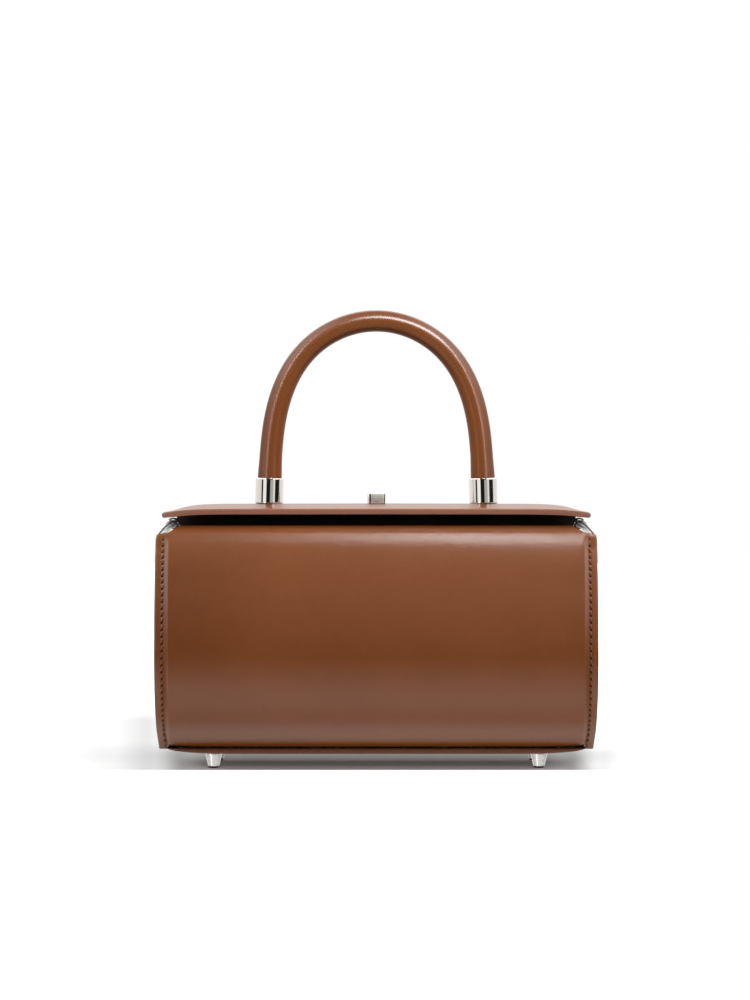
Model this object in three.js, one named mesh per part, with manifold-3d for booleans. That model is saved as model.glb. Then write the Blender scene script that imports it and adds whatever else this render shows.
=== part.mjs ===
// A small structured leather handbag with a rigid top handle.
// Millimetres, +Z up, front towards -Y, origin on the floor under the middle of the bag.

import * as THREE from 'three';
import { mergeVertices } from 'three/addons/utils/BufferGeometryUtils.js';
import Module from 'manifold-3d';

// ---------------------------------------------------------------- sizes

const GAP = 0.3;                  // clearance between neighbouring pieces

const BODY_WIDTH = 210;           // across the stitched side edges
const BODY_DEPTH = 104;           // at the fullest height
const WALL = 2.0;                 // leather of the panels
const PROFILE_STEPS = 15;

// Side profile of the front wall, from the bottom edge up to the fold of the mouth.
const PROFILE = [
  { z: 10.9, setback: 27.5 },
  { z: 17.0, setback: 19.2 },
  { z: 23.7, setback: 11.8 },
  { z: 29.2, setback: 7.5 },
  { z: 35.3, setback: 4.2 },
  { z: 45.0, setback: 1.1 },
  { z: 56.0, setback: 0.0 },
  { z: 69.0, setback: 1.3 },
  { z: 82.5, setback: 5.4 },
  { z: 94.7, setback: 11.5 },
  { z: 105.0, setback: 18.3 },
  { z: 114.2, setback: 25.2 },
];
const LIP = { z: 117.5, setback: 29.7, halfWidth: 96.3 };   // turned-in edge of the mouth

// How the leather rises from the flat stitched border to the pillow.
const PILLOW = [
  { inset: 0.0, rise: 0.0 },
  { inset: 3.2, rise: 0.0 },
  { inset: 4.6, rise: 1.0 },
  { inset: 7.0, rise: 1.6 },
  { inset: 14.0, rise: 1.8 },
];
const PILLOW_RISE = PILLOW[PILLOW.length - 1].rise;

const BASE = { halfWidth: 102.0, halfDepth: 25.5, top: 10.5, bottom: 7.2, bow: 2.4, corner: 6 };

const GUSSET = {
  outer: 104.7, wall: 2.0, rim: 1.8, rimFrom: 97.0,
  shoulderLow: { x: 104.7, z: 109.6 }, shoulderTop: { x: 100.2, z: 114.8 },
};

const LID = { halfWidth: 104.3, halfDepth: 23.5, edgeTop: 125.8, thick: 2.9, corner: 7 };
// Crown of the lid and droop of its ends, by the distance in from an end.
const LID_ENDS = [
  { inset: 0, droop: 1.8, crown: 0.0 },
  { inset: 5, droop: 1.25, crown: 0.4 },
  { inset: 9, droop: 0.85, crown: 1.4 },
  { inset: 13, droop: 0.5, crown: 1.95 },
  { inset: 19, droop: 0.25, crown: 2.33 },
  { inset: 30, droop: 0.08, crown: 2.45 },
  { inset: 104.3, droop: 0.0, crown: 2.55 },
];
const LID_ROWS = [-1, -0.9, -0.72, -0.48, -0.24, 0, 0.24, 0.48, 0.72, 0.9, 1];

const HINGE = { halfWidth: 100, y: 21.4, thick: 1.6, low: 117.8 };

const HANDLE = {
  halfSpan: 52.25, rise: 67.75, springZ: 150.7, lean: 0.5,
  endZ: 131.6, archSteps: 30, sides: 12,
};
// How much wider than a half ellipse the handle's arch is, by height.
const HANDLE_SPREAD = [
  { z: 141.0, k: 1.0 },
  { z: 149.5, k: 0.9955 },
  { z: 159.3, k: 0.990 },
  { z: 169.2, k: 0.995 },
  { z: 179.0, k: 1.006 },
  { z: 188.9, k: 1.022 },
  { z: 198.8, k: 1.042 },
  { z: 208.6, k: 1.060 },
  { z: 218.5, k: 1.069 },
];
// Radius of the rolled handle by height.
const HANDLE_RADII = [
  { z: 131.6, r: 6.0 },
  { z: 142.0, r: 6.0 },
  { z: 150.0, r: 5.6 },
  { z: 185.0, r: 5.5 },
  { z: 218.2, r: 5.3 },
];

const FERRULE = { r: 6.9, bore: 6.4, low: 128.6, high: 140.7, floor: 131.2, bevel: 0.5, sides: 24 };
const FERRULE_LEAN = Math.atan(HANDLE.lean / (HANDLE.springZ - HANDLE.endZ));
const FERRULE_X = HANDLE.halfSpan + 0.42;

const LOCK_BASE = { width: 7.6, depth: 4.8, low: 128.65, high: 129.05, hole: 1.75 };
const KNOB = { width: 8.8, depth: 5.2, low: 129.35, high: 133.0, shank: 1.4 };
const KNOB_CAM = { width: 12, depth: 5, low: 122.8, high: 124.8 };

const RING = {
  wire: 1.7, halfWidth: 11.7, corner: 3.6, sides: 8,
  top: { x: 99.9, z: 118.5 }, end: { x: 106.2, z: 111.3 },
};
const LUG = { eye: 2.8, bore: 2.05, length: 9, tab: 1.2, tabLength: 6 };

const FOOT = { x: 79, y: 18, height: 7.4, top: 4.1, bottom: 2.6, sides: 16 };

// ---------------------------------------------------------------- materials

const leather = (color) => new THREE.MeshStandardMaterial({ color, roughness: 0.38, metalness: 0 });
const polished = () => new THREE.MeshStandardMaterial({ color: 0xd9d6d1, roughness: 0.1, metalness: 1 });
const satin = () => new THREE.MeshStandardMaterial({ color: 0xcbc7c2, roughness: 0.32, metalness: 1 });
const TAN = 0x7d4726;
const TAN_DARK = 0x6d3f24;

// ---------------------------------------------------------------- helpers

const wasm = await Module();
wasm.setup();

const bare = (geometry) => {
  geometry.deleteAttribute('normal');
  geometry.deleteAttribute('uv');
  return mergeVertices(geometry, 1e-4);
};

const solid = (geometry) => {
  const g = bare(geometry.index ? geometry.toNonIndexed() : geometry);
  return new wasm.Manifold(new wasm.Mesh({
    numProp: 3,
    vertProperties: new Float32Array(g.attributes.position.array),
    triVerts: new Uint32Array(g.index.array),
  }));
};

const fromSolid = (manifold) => {
  const m = manifold.getMesh();
  const g = new THREE.BufferGeometry();
  g.setAttribute('position', new THREE.Float32BufferAttribute(m.vertProperties, 3));
  g.setIndex(Array.from(m.triVerts));
  g.computeVertexNormals();
  return g;
};

const indexed = (points, faces) => {
  const g = new THREE.BufferGeometry();
  g.setAttribute('position', new THREE.Float32BufferAttribute(points.flat(), 3));
  g.setIndex(faces.flat());
  g.computeVertexNormals();
  return g;
};

// Value of a table's column at a place, by straight lines between its rows.
const lookup = (table, key, column, at) => {
  const rows = table;
  if (at <= rows[0][key]) return rows[0][column];
  for (let i = 1; i < rows.length; i++) {
    if (at <= rows[i][key]) {
      const t = (at - rows[i - 1][key]) / (rows[i][key] - rows[i - 1][key]);
      return rows[i - 1][column] + t * (rows[i][column] - rows[i - 1][column]);
    }
  }
  return rows[rows.length - 1][column];
};

// A closed wall between two grids of points, one outside and one inside. Grids are [row][column].
const wallBetween = (outside, inside, flip) => {
  const rows = outside.length, cols = outside[0].length;
  const points = [...outside.flat(), ...inside.flat()];
  const a = (r, c) => r * cols + c;
  const b = (r, c) => rows * cols + r * cols + c;
  const faces = [];
  const quad = (p, q, s, t) => faces.push(flip ? [p, s, q] : [p, q, s], flip ? [p, t, s] : [p, s, t]);
  for (let r = 0; r + 1 < rows; r++) {
    for (let c = 0; c + 1 < cols; c++) {
      quad(a(r, c), a(r, c + 1), a(r + 1, c + 1), a(r + 1, c));
      quad(b(r, c), b(r + 1, c), b(r + 1, c + 1), b(r, c + 1));
    }
  }
  for (let c = 0; c + 1 < cols; c++) {
    quad(a(0, c), b(0, c), b(0, c + 1), a(0, c + 1));
    quad(a(rows - 1, c), a(rows - 1, c + 1), b(rows - 1, c + 1), b(rows - 1, c));
  }
  for (let r = 0; r + 1 < rows; r++) {
    quad(a(r, 0), a(r + 1, 0), b(r + 1, 0), b(r, 0));
    quad(a(r, cols - 1), b(r, cols - 1), b(r + 1, cols - 1), a(r + 1, cols - 1));
  }
  return indexed(points, faces);
};

// A round wire or roll along a path in a plane. Each path point is a Vector3; across is the plane's normal.
const roll = (path, radii, across, sides, closed) => {
  const points = [], faces = [], n = path.length;
  const at = (i) => path[closed ? (i + n) % n : Math.min(Math.max(i, 0), n - 1)];
  for (let i = 0; i < n; i++) {
    const along = at(i + 1).clone().sub(at(i - 1)).normalize();
    const out = new THREE.Vector3().crossVectors(across, along);
    for (let k = 0; k < sides; k++) {
      const w = (2 * Math.PI * k) / sides;
      points.push(at(i).clone()
        .addScaledVector(out, radii[i] * Math.cos(w))
        .addScaledVector(across, radii[i] * Math.sin(w)).toArray());
    }
  }
  const id = (i, k) => (i % n) * sides + (k % sides);
  for (let i = 0; i < (closed ? n : n - 1); i++) {
    for (let k = 0; k < sides; k++) {
      faces.push([id(i, k), id(i + 1, k + 1), id(i + 1, k)], [id(i, k), id(i, k + 1), id(i + 1, k + 1)]);
    }
  }
  if (!closed) {
    for (let k = 1; k + 1 < sides; k++) {
      faces.push([id(0, 0), id(0, k + 1), id(0, k)]);
      faces.push([id(n - 1, 0), id(n - 1, k), id(n - 1, k + 1)]);
    }
  }
  return outward(indexed(points, faces));
};

// Turns a closed surface so that its faces point out.
const outward = (g) => {
  const p = g.attributes.position, ix = g.index.array;
  const v = (i) => new THREE.Vector3().fromBufferAttribute(p, i);
  let volume = 0;
  for (let i = 0; i < ix.length; i += 3) {
    volume += v(ix[i]).dot(v(ix[i + 1]).cross(v(ix[i + 2])));
  }
  if (volume < 0) {
    const turned = [];
    for (let i = 0; i < ix.length; i += 3) turned.push(ix[i], ix[i + 2], ix[i + 1]);
    g.setIndex(turned);
  }
  g.computeVertexNormals();
  return g;
};

const shapeOf = (points) => new THREE.Shape(points.map(([u, v]) => new THREE.Vector2(u, v)));
const X = new THREE.Vector3(1, 0, 0), Y = new THREE.Vector3(0, 1, 0), Z = new THREE.Vector3(0, 0, 1);

const extrude = (shape, depth, segments = 8) =>
  new THREE.ExtrudeGeometry(shape, { depth, bevelEnabled: false, curveSegments: segments });

// An outline in (y, z), solid from x0 to x1.
const slabX = (points, x0, x1) => extrude(shapeOf(points), x1 - x0)
  .applyMatrix4(new THREE.Matrix4().makeBasis(Y, Z, X)).translate(x0, 0, 0);

// An outline in (x, z), solid from y0 to y1.
const slabY = (shape, y0, y1, segments) => extrude(shape, y1 - y0, segments)
  .applyMatrix4(new THREE.Matrix4().makeBasis(X, Z, Y.clone().negate())).translate(0, y1, 0);

const roundedRect = (halfX, halfY, r) => {
  const s = new THREE.Shape();
  s.moveTo(-halfX + r, -halfY);
  s.lineTo(halfX - r, -halfY);
  s.absarc(halfX - r, -halfY + r, r, -Math.PI / 2, 0, false);
  s.lineTo(halfX, halfY - r);
  s.absarc(halfX - r, halfY - r, r, 0, Math.PI / 2, false);
  s.lineTo(-halfX + r, halfY);
  s.absarc(-halfX + r, halfY - r, r, Math.PI / 2, Math.PI, false);
  s.lineTo(-halfX, -halfY + r);
  s.absarc(-halfX + r, -halfY + r, r, Math.PI, 1.5 * Math.PI, false);
  return s;
};

const mirroredX = (g) => {
  const m = g.clone().scale(-1, 1, 1);
  return outward(m.index ? m : mergeVertices(bare(m)));
};

// ---------------------------------------------------------------- body profile

// Points and outward normals of the front wall in (half depth, height), the lip included.
const profile = (() => {
  const curve = new THREE.SplineCurve(PROFILE.map((row) =>
    new THREE.Vector2(BODY_DEPTH / 2 - row.setback, row.z)));
  const points = curve.getSpacedPoints(PROFILE_STEPS);
  points.push(new THREE.Vector2(BODY_DEPTH / 2 - LIP.setback, LIP.z));
  const side = (i) => {
    const t = points[i + 1].clone().sub(points[i]).normalize();
    return new THREE.Vector2(t.y, -t.x);
  };
  return points.map((point, i) => {
    const before = side(Math.max(i - 1, 0)), after = side(Math.min(i, points.length - 2));
    const normal = before.clone().add(after).normalize();
    return { point, normal, miter: 1 / normal.dot(after) };
  });
})();

const offsetProfile = (distance) => profile.map(({ point, normal, miter }) =>
  point.clone().addScaledVector(normal, distance * miter));

// ---------------------------------------------------------------- leather pieces

const panelColumns = [
  ...PILLOW.map((row) => ({ x: -BODY_WIDTH / 2 + row.inset, rise: row.rise })),
  { x: 0, rise: PILLOW_RISE },
  ...[...PILLOW].reverse().map((row) => ({ x: BODY_WIDTH / 2 - row.inset, rise: row.rise })),
];

// side -1 is the front wall, +1 the back wall.
const panel = (side) => {
  const surface = (depth) => {
    const lines = panelColumns.map((col) => offsetProfile(col.rise - PILLOW_RISE - depth));
    return profile.map((_, r) => panelColumns.map((col, c) => {
      const narrow = r === profile.length - 1 ? LIP.halfWidth / (BODY_WIDTH / 2) : 1;
      return [col.x * narrow, side * lines[c][r].x, lines[c][r].y];
    }));
  };
  return wallBetween(surface(0), surface(WALL), side > 0);
};

const basePanel = () => {
  const bottom = (x) => BASE.bottom + BASE.bow * Math.pow(Math.min(Math.abs(x) / 102, 1.02), 5);
  const steps = 14, reach = BASE.halfWidth + 2;
  const columns = Array.from({ length: steps + 1 }, (_, i) => -reach + (2 * reach * i) / steps);
  const rows = [-BASE.halfDepth - 2, BASE.halfDepth + 2];
  const upper = rows.map((y) => columns.map((x) => [x, y, BASE.top]));
  const lower = rows.map((y) => columns.map((x) => [x, y, bottom(x)]));
  const blank = outward(wallBetween(upper, lower, false));
  const outline = extrude(roundedRect(BASE.halfWidth, BASE.halfDepth, BASE.corner), 40, 4);
  return fromSolid(solid(blank).intersect(solid(outline)));
};

const gusset = () => {
  const outline = (distance) => {
    const half = offsetProfile(-distance);
    const last = half[half.length - 1], before = half[half.length - 2];
    const slope = (last.x - before.x) / (last.y - before.y);
    const front = [[half[0].x - 1.2, BASE.top + 0.6 + distance - inset], ...half.map((p) => [p.x, p.y]),
      [last.x + slope * (122 - last.y), 122]];
    return [...front, ...front.map(([y, z]) => [-y, z]).reverse()];
  };
  const inset = PILLOW_RISE + WALL + GAP;
  const { outer, wall, rim, rimFrom, shoulderLow, shoulderTop } = GUSSET;
  const run = new THREE.Vector2(shoulderTop.x - shoulderLow.x, shoulderTop.z - shoulderLow.z).normalize();
  const inward = new THREE.Vector2(-run.y, run.x);
  const line = (start, t) => [start.x + run.x * t, start.y + run.y * t];
  const innerStart = new THREE.Vector2(shoulderLow.x, shoulderLow.z).addScaledVector(inward, wall);
  const meets = (outer - wall - innerStart.x) / run.x;
  const outside = shapeOf([[80, 0], [outer, 0], [shoulderLow.x, shoulderLow.z],
    [shoulderTop.x, shoulderTop.z], [80, shoulderTop.z]]);
  const inside = shapeOf([[70, -5], [outer - wall, -5], line(innerStart, meets), line(innerStart, 16),
    [70, line(innerStart, 16)[1]]]);
  const shell = solid(slabX(outline(inset), rimFrom, outer + 3)).intersect(solid(slabY(outside, -60, 60)));
  const hollow = solid(slabX(outline(inset + rim), rimFrom - 5, outer + 6)).intersect(solid(slabY(inside, -70, 70)));
  return fromSolid(shell.subtract(hollow));
};

const lidTop = (x, y) => {
  const inset = LID.halfWidth - Math.abs(x);
  const across = Math.max(0, 1 - Math.pow(Math.abs(y) / LID.halfDepth, 2));
  return LID.edgeTop - lookup(LID_ENDS, 'inset', 'droop', inset)
    + lookup(LID_ENDS, 'inset', 'crown', inset) * across;
};

const lid = () => {
  const half = LID_ENDS.slice(0, -1).map((row) => LID.halfWidth - row.inset);
  const columns = [-LID.halfWidth - 2, ...half.slice(1).map((x) => -x), -20, 20,
    ...half.slice(1).reverse(), LID.halfWidth + 2];
  const rows = LID_ROWS.map((f) => f * (LID.halfDepth + (Math.abs(f) === 1 ? 2 : 0)));
  const upper = rows.map((y) => columns.map((x) => [x, y, lidTop(x, y)]));
  const lower = rows.map((y) => columns.map((x) => [x, y, lidTop(x, y) - LID.thick]));
  const blank = outward(wallBetween(upper, lower, false));
  const outline = extrude(roundedRect(LID.halfWidth, LID.halfDepth, LID.corner), 40, 4).translate(0, 0, 100);
  const hole = new THREE.CylinderGeometry(LOCK_BASE.hole, LOCK_BASE.hole, 40, 16).rotateX(Math.PI / 2)
    .translate(0, 0, LID.edgeTop);
  return fromSolid(solid(blank).intersect(solid(outline)).subtract(solid(hole)));
};

// The strip's upper edge follows the underside of the lid.
const lidHinge = () => {
  const { halfWidth, y, thick, low } = HINGE;
  const xs = [halfWidth, ...LID_ENDS.map((row) => LID.halfWidth - row.inset).filter((x) => x > 1 && x < halfWidth)];
  const right = xs.map((x) => [x, lidTop(x, y + thick / 2) - LID.thick - GAP]);
  const left = right.map(([x, z]) => [-x, z]).reverse();
  return slabY(shapeOf([[-halfWidth, low], [halfWidth, low], ...right, ...left]), y - thick / 2, y + thick / 2);
};

const handle = () => {
  const foot = new THREE.Vector3(HANDLE.halfSpan + HANDLE.lean, 0, HANDLE.endZ);
  const spring = new THREE.Vector3(HANDLE.halfSpan, 0, HANDLE.springZ);
  const leg = [0, 0.5, 0.78].map((t) => foot.clone().lerp(spring, t));
  const arch = Array.from({ length: HANDLE.archSteps + 1 }, (_, i) => {
    const w = (Math.PI * i) / HANDLE.archSteps;
    return new THREE.Vector3(HANDLE.halfSpan * Math.cos(w), 0, HANDLE.springZ + HANDLE.rise * Math.sin(w));
  });
  const other = [...leg].reverse().map((p) => new THREE.Vector3(-p.x, 0, p.z));
  const path = [...leg, ...arch, ...other];
  path.forEach((p) => { p.x *= lookup(HANDLE_SPREAD, 'z', 'k', p.z); });
  return roll(path, path.map((p) => lookup(HANDLE_RADII, 'z', 'r', p.z)), Y, HANDLE.sides, false);
};

// ---------------------------------------------------------------- metal pieces

const ferrule = () => {
  const { r, bore, low, high, floor, bevel, sides } = FERRULE;
  const middle = (low + high) / 2;
  const points = [[0, low], [r - bevel, low], [r, low + bevel], [r, high - 0.25], [r - 0.2, high], [bore, high],
    [bore, floor], [0, floor]].map(([u, v]) => new THREE.Vector2(u, v - middle));
  return outward(bare(new THREE.LatheGeometry(points, sides).rotateX(Math.PI / 2)));
};

const foot = () => {
  const { height, top, bottom, sides } = FOOT;
  const points = [[0, 0], [bottom - 0.4, 0], [bottom, 0.4], [top, height - 0.7], [top, height], [0, height]]
    .map(([u, v]) => new THREE.Vector2(u, v));
  return outward(bare(new THREE.LatheGeometry(points, sides).rotateX(Math.PI / 2)));
};

const lockBase = () => {
  const { width, depth, low, high, hole } = LOCK_BASE;
  const s = roundedRect(width / 2, depth / 2, 1.2);
  s.holes.push(new THREE.Path().absarc(0, 0, hole, 0, 2 * Math.PI, true));
  return extrude(s, high - low, 6).translate(0, 0, low);
};

const turnKnob = () => {
  const bar = extrude(roundedRect(KNOB.width / 2, KNOB.depth / 2, 1.1), KNOB.high - KNOB.low, 4)
    .translate(0, 0, KNOB.low);
  const cam = extrude(roundedRect(KNOB_CAM.width / 2, KNOB_CAM.depth / 2, 1.5), KNOB_CAM.high - KNOB_CAM.low, 3)
    .translate(0, 0, KNOB_CAM.low);
  const from = KNOB_CAM.low + 0.5, to = KNOB.low + 0.5;
  const shank = new THREE.CylinderGeometry(KNOB.shank, KNOB.shank, to - from, 12).rotateX(Math.PI / 2)
    .translate(0, 0, (from + to) / 2);
  return fromSolid(solid(bar).add(solid(shank)).add(solid(cam)));
};

const strapRing = () => {
  const { wire, halfWidth, corner, sides, top, end } = RING;
  const start = new THREE.Vector3(top.x, 0, top.z);
  const down = new THREE.Vector3(end.x - top.x, 0, end.z - top.z);
  const length = down.length();
  down.normalize();
  const outline = roundedRect(halfWidth, length / 2, corner).getPoints(3);
  const flat = outline.filter((p, i) => i === 0 || p.distanceTo(outline[i - 1]) > 1e-3);
  if (flat[0].distanceTo(flat[flat.length - 1]) < 1e-3) flat.pop();
  const path = flat.map((p) => start.clone().addScaledVector(Y, p.x).addScaledVector(down, p.y + length / 2));
  const across = new THREE.Vector3().crossVectors(Y, down).normalize();
  return roll(path, path.map(() => wire), across, sides, true);
};

const strapLug = () => {
  const { eye, bore, length, tab, tabLength } = LUG;
  const ring = new THREE.Shape().absarc(RING.top.x, RING.top.z, eye, 0, 2 * Math.PI, false);
  const { outer, wall, shoulderLow, shoulderTop } = GUSSET;
  const run = new THREE.Vector2(shoulderLow.x - shoulderTop.x, shoulderLow.z - shoulderTop.z).normalize();
  const inward = new THREE.Vector2(run.y, -run.x);
  const edge = new THREE.Vector2(shoulderTop.x, shoulderTop.z).addScaledVector(inward, wall);
  const corner = edge.clone().addScaledVector(run, -(shoulderTop.z - edge.y) / -run.y);
  const a = corner.clone().addScaledVector(inward, GAP + 0.05);
  const b = a.clone().addScaledVector(run, tabLength);
  const c = b.clone().addScaledVector(inward, tab);
  const d = a.clone().addScaledVector(inward, tab);
  const strip = shapeOf([[a.x, a.y], [b.x, b.y], [c.x, c.y], [d.x, d.y], [d.x - 0.3, d.y + 1.5],
    [RING.top.x - 2.3, RING.top.z - 1.1], [RING.top.x - 0.9, RING.top.z - 2.3], [a.x - 0.1, a.y + 0.6]]);
  const hole = new THREE.Shape().absarc(RING.top.x, RING.top.z, bore, 0, 2 * Math.PI, false);
  const half = length / 2;
  return fromSolid(solid(slabY(ring, -half, half, 10)).add(solid(slabY(strip, -half, half)))
    .subtract(solid(slabY(hole, -half - 1, half + 1, 10))));
};

// ---------------------------------------------------------------- assembly

const bag = new THREE.Group();

const put = (name, geometry, material, x = 0, y = 0, z = 0, lean = 0) => {
  const mesh = new THREE.Mesh(geometry, material);
  mesh.name = name;
  mesh.position.set(x, y, z);
  mesh.rotation.y = lean;
  bag.add(mesh);
  return mesh;
};

put('front_panel', panel(-1), leather(TAN));
put('back_panel', panel(1), leather(TAN));
put('base_panel', basePanel(), leather(TAN_DARK));
const rightGusset = gusset();
put('gusset_right', rightGusset, leather(TAN));
put('gusset_left', mirroredX(rightGusset), leather(TAN));
put('lid', lid(), leather(TAN));
put('lid_hinge', lidHinge(), leather(TAN_DARK));
put('handle', handle(), leather(TAN));

const ferruleMiddle = (FERRULE.low + FERRULE.high) / 2;
put('ferrule_right', ferrule(), polished(), FERRULE_X, 0, ferruleMiddle, -FERRULE_LEAN);
put('ferrule_left', ferrule(), polished(), -FERRULE_X, 0, ferruleMiddle, FERRULE_LEAN);

put('lock_base', lockBase(), polished());
put('turn_knob', turnKnob(), polished());

const rightLug = strapLug(), rightRing = strapRing();
put('strap_lug_right', rightLug, polished());
put('strap_lug_left', mirroredX(rightLug), polished());
put('strap_ring_right', rightRing, polished());
put('strap_ring_left', mirroredX(rightRing), polished());

for (const [name, sx, sy] of [['foot_front_left', -1, -1], ['foot_front_right', 1, -1],
  ['foot_back_left', -1, 1], ['foot_back_right', 1, 1]]) {
  put(name, foot(), satin(), sx * FOOT.x, sy * FOOT.y, 0);
}

export default bag;
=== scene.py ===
import math

import bmesh
import bpy
import numpy as np
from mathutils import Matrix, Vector


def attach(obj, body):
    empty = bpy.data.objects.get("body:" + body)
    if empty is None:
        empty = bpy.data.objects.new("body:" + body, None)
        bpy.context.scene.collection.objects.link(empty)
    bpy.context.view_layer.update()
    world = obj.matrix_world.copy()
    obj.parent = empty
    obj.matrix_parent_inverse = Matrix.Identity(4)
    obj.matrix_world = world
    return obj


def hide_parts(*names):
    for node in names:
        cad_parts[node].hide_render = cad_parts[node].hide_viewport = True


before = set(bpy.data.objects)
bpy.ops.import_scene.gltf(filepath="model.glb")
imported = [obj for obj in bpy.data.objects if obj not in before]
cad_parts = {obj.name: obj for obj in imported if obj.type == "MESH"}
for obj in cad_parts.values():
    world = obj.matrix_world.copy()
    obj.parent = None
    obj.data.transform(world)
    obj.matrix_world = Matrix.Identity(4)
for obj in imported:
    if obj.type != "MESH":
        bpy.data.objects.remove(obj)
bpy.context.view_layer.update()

scene = bpy.context.scene
MM = 0.001

# ------------------------------------------------------------------ sizes, in millimetres

HALF_DEPTH = 52.0
WALL = 2.0
# Side profile of the front wall: height and how far it is set back from the fullest depth.
PROFILE = [
    (10.9, 27.5), (17.0, 19.2), (23.7, 11.8), (29.2, 7.5), (35.3, 4.2), (45.0, 1.1), (56.0, 0.0),
    (69.0, 1.3), (82.5, 5.4), (94.7, 11.5), (105.0, 18.2), (110.4, 22.4), (114.0, 25.9),
]
LIP = (117.4, 30.2)
# Half width across the stitched side edges, by height.
HALF_WIDTH = [(9.0, 105.5), (17.0, 105.65), (22.0, 105.5), (29.0, 105.4), (45.0, 105.3), (66.0, 105.3), (87.0, 105.7), (106.0, 106.3), (111.5, 106.4), (114.0, 106.0)]
LIP_HALF_WIDTH = (101.6, 96.4)
PILLOW_RISE = 1.8
PILLOW_FLANK = (3.95, 0.45, 5.3, 1.7)   # where the flank starts, how softly, where it ends, how softly
STITCH_INSET = 3.55
STITCH_PITCH = 3.46
STITCH_TOP_Z = 111.3

BASE = dict(hw=101.8, hd=25.5, top=9.9, bottom=7.2, bow=2.5, corner=6.0)
LID = dict(hw=104.3, hd=23.5, edge=125.8, thick=2.9, corner=7.0)
LID_ENDS = [  # inset from an end, droop, crown
    (0, 1.8, 0.0), (5, 1.25, 0.4), (9, 0.85, 1.4), (13, 0.5, 1.95), (19, 0.25, 2.33), (30, 0.08, 2.45), (104.3, 0.0, 2.55),
]
HINGE = dict(hw=100.0, y=21.4, low=116.9, thick=1.6)
HANDLE = dict(half=52.25, rise=67.75, spring=150.7, lean=0.5, end=131.6)
HANDLE_SPREAD = [  # height, and how much wider than a half ellipse the arch is there
    (141.0, 1.0), (149.5, 0.9955), (159.3, 0.990), (169.2, 0.995), (179.0, 1.006), (188.9, 1.022), (198.8, 1.042), (208.6, 1.060), (218.5, 1.069),
]
HANDLE_RADII = [(131.6, 6.0), (142.0, 6.0), (150.0, 5.62), (168.0, 5.55), (185.0, 5.5), (205.0, 5.38), (218.2, 5.3)]
FERRULE = dict(r=6.9, bore=6.4, low=128.1, high=140.7, floor=131.2)
FERRULE_X = HANDLE["half"] + 0.42
FERRULE_LEAN = math.atan(HANDLE["lean"] / (HANDLE["spring"] - HANDLE["end"]))
LOCK = dict(w=8.7, d=5.1, low=128.1, high=129.05, hole=1.75)
KNOB = dict(w=8.8, d=5.2, low=129.12, high=133.0, shank=1.4)
CAM = dict(w=12.0, d=5.0, low=122.8, high=124.8)
RING = dict(wire=1.7, half=11.7, corner=3.6, top=(99.9, 118.5), end=(106.2, 111.3))
LUG = dict(eye=2.8, bore=2.05, length=9.0, tab=1.2)
FOOT = dict(x=79.0, y=18.0, top=4.1, bottom=2.6)

# ------------------------------------------------------------------ camera

camera_data = bpy.data.cameras.new("camera")
camera = bpy.data.objects.new("camera", camera_data)
scene.collection.objects.link(camera)
camera.location = (-0.00063, -1.252, 0.130)
camera.rotation_euler = (math.radians(90), 0, 0)
camera_data.lens = 91.44
camera_data.sensor_width = 36.0
camera_data.clip_start = 0.01
camera_data.clip_end = 50
camera_data.dof.use_dof = False
scene.camera = camera

# ------------------------------------------------------------------ material helpers


class Nodes:
    """Short names for making and joining shader nodes."""

    def __init__(self, tree):
        self.tree = tree
        tree.nodes.clear()

    def new(self, kind, **values):
        node = self.tree.nodes.new("ShaderNode" + kind)
        for key, value in values.items():
            if hasattr(node, key):
                setattr(node, key, value)
            else:
                node.inputs[key.replace("_", " ")].default_value = value
        return node

    def join(self, a, b):
        self.tree.links.new(a, b)

    def math(self, operation, a, b=None, clamp=False):
        node = self.new("Math", operation=operation, use_clamp=clamp)
        for i, v in enumerate((a, b)):
            if v is None:
                continue
            if isinstance(v, (int, float)):
                node.inputs[i].default_value = v
            else:
                self.join(v, node.inputs[i])
        return node.outputs[0]

    def span(self, value, a0, a1, b0, b1, smooth=True):
        node = self.new("MapRange", interpolation_type="SMOOTHSTEP" if smooth else "LINEAR", clamp=True)
        self.join(value, node.inputs[0])
        for i, v in enumerate((a0, a1, b0, b1)):
            node.inputs[i + 1].default_value = v
        return node.outputs[0]

    def mix(self, factor, a, b, blend="MIX"):
        node = self.new("Mix", data_type="RGBA", blend_type=blend)
        node.clamp_factor = True
        for socket, v in ((node.inputs[0], factor), (node.inputs[6], a), (node.inputs[7], b)):
            if isinstance(v, (int, float)):
                socket.default_value = v
            elif isinstance(v, tuple):
                socket.default_value = v + (1.0,) if len(v) == 3 else v
            else:
                self.join(v, socket)
        return node.outputs[2]

    def noise(self, vector, scale, detail=2.0, rough=0.5):
        node = self.new("TexNoise", Scale=scale, Detail=detail, Roughness=rough)
        self.join(vector, node.inputs["Vector"])
        return node.outputs["Fac"]

    def bump(self, height, strength, distance, before=None):
        node = self.new("Bump", Strength=strength, Distance=distance)
        self.join(height, node.inputs["Height"])
        if before is not None:
            self.join(before, node.inputs["Normal"])
        return node.outputs["Normal"]


def material(name):
    m = bpy.data.materials.new(name)
    m.use_nodes = True
    n = Nodes(m.node_tree)
    out = n.new("OutputMaterial")
    bsdf = n.new("BsdfPrincipled")
    n.join(bsdf.outputs[0], out.inputs[0])
    return m, n, bsdf


def stretched(n, sx=1.0, sy=1.0, sz=1.0):
    tex = n.new("TexCoord")
    mapping = n.new("Mapping")
    mapping.inputs["Scale"].default_value = (sx, sy, sz)
    n.join(tex.outputs["Object"], mapping.inputs["Vector"])
    return mapping.outputs["Vector"]


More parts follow.
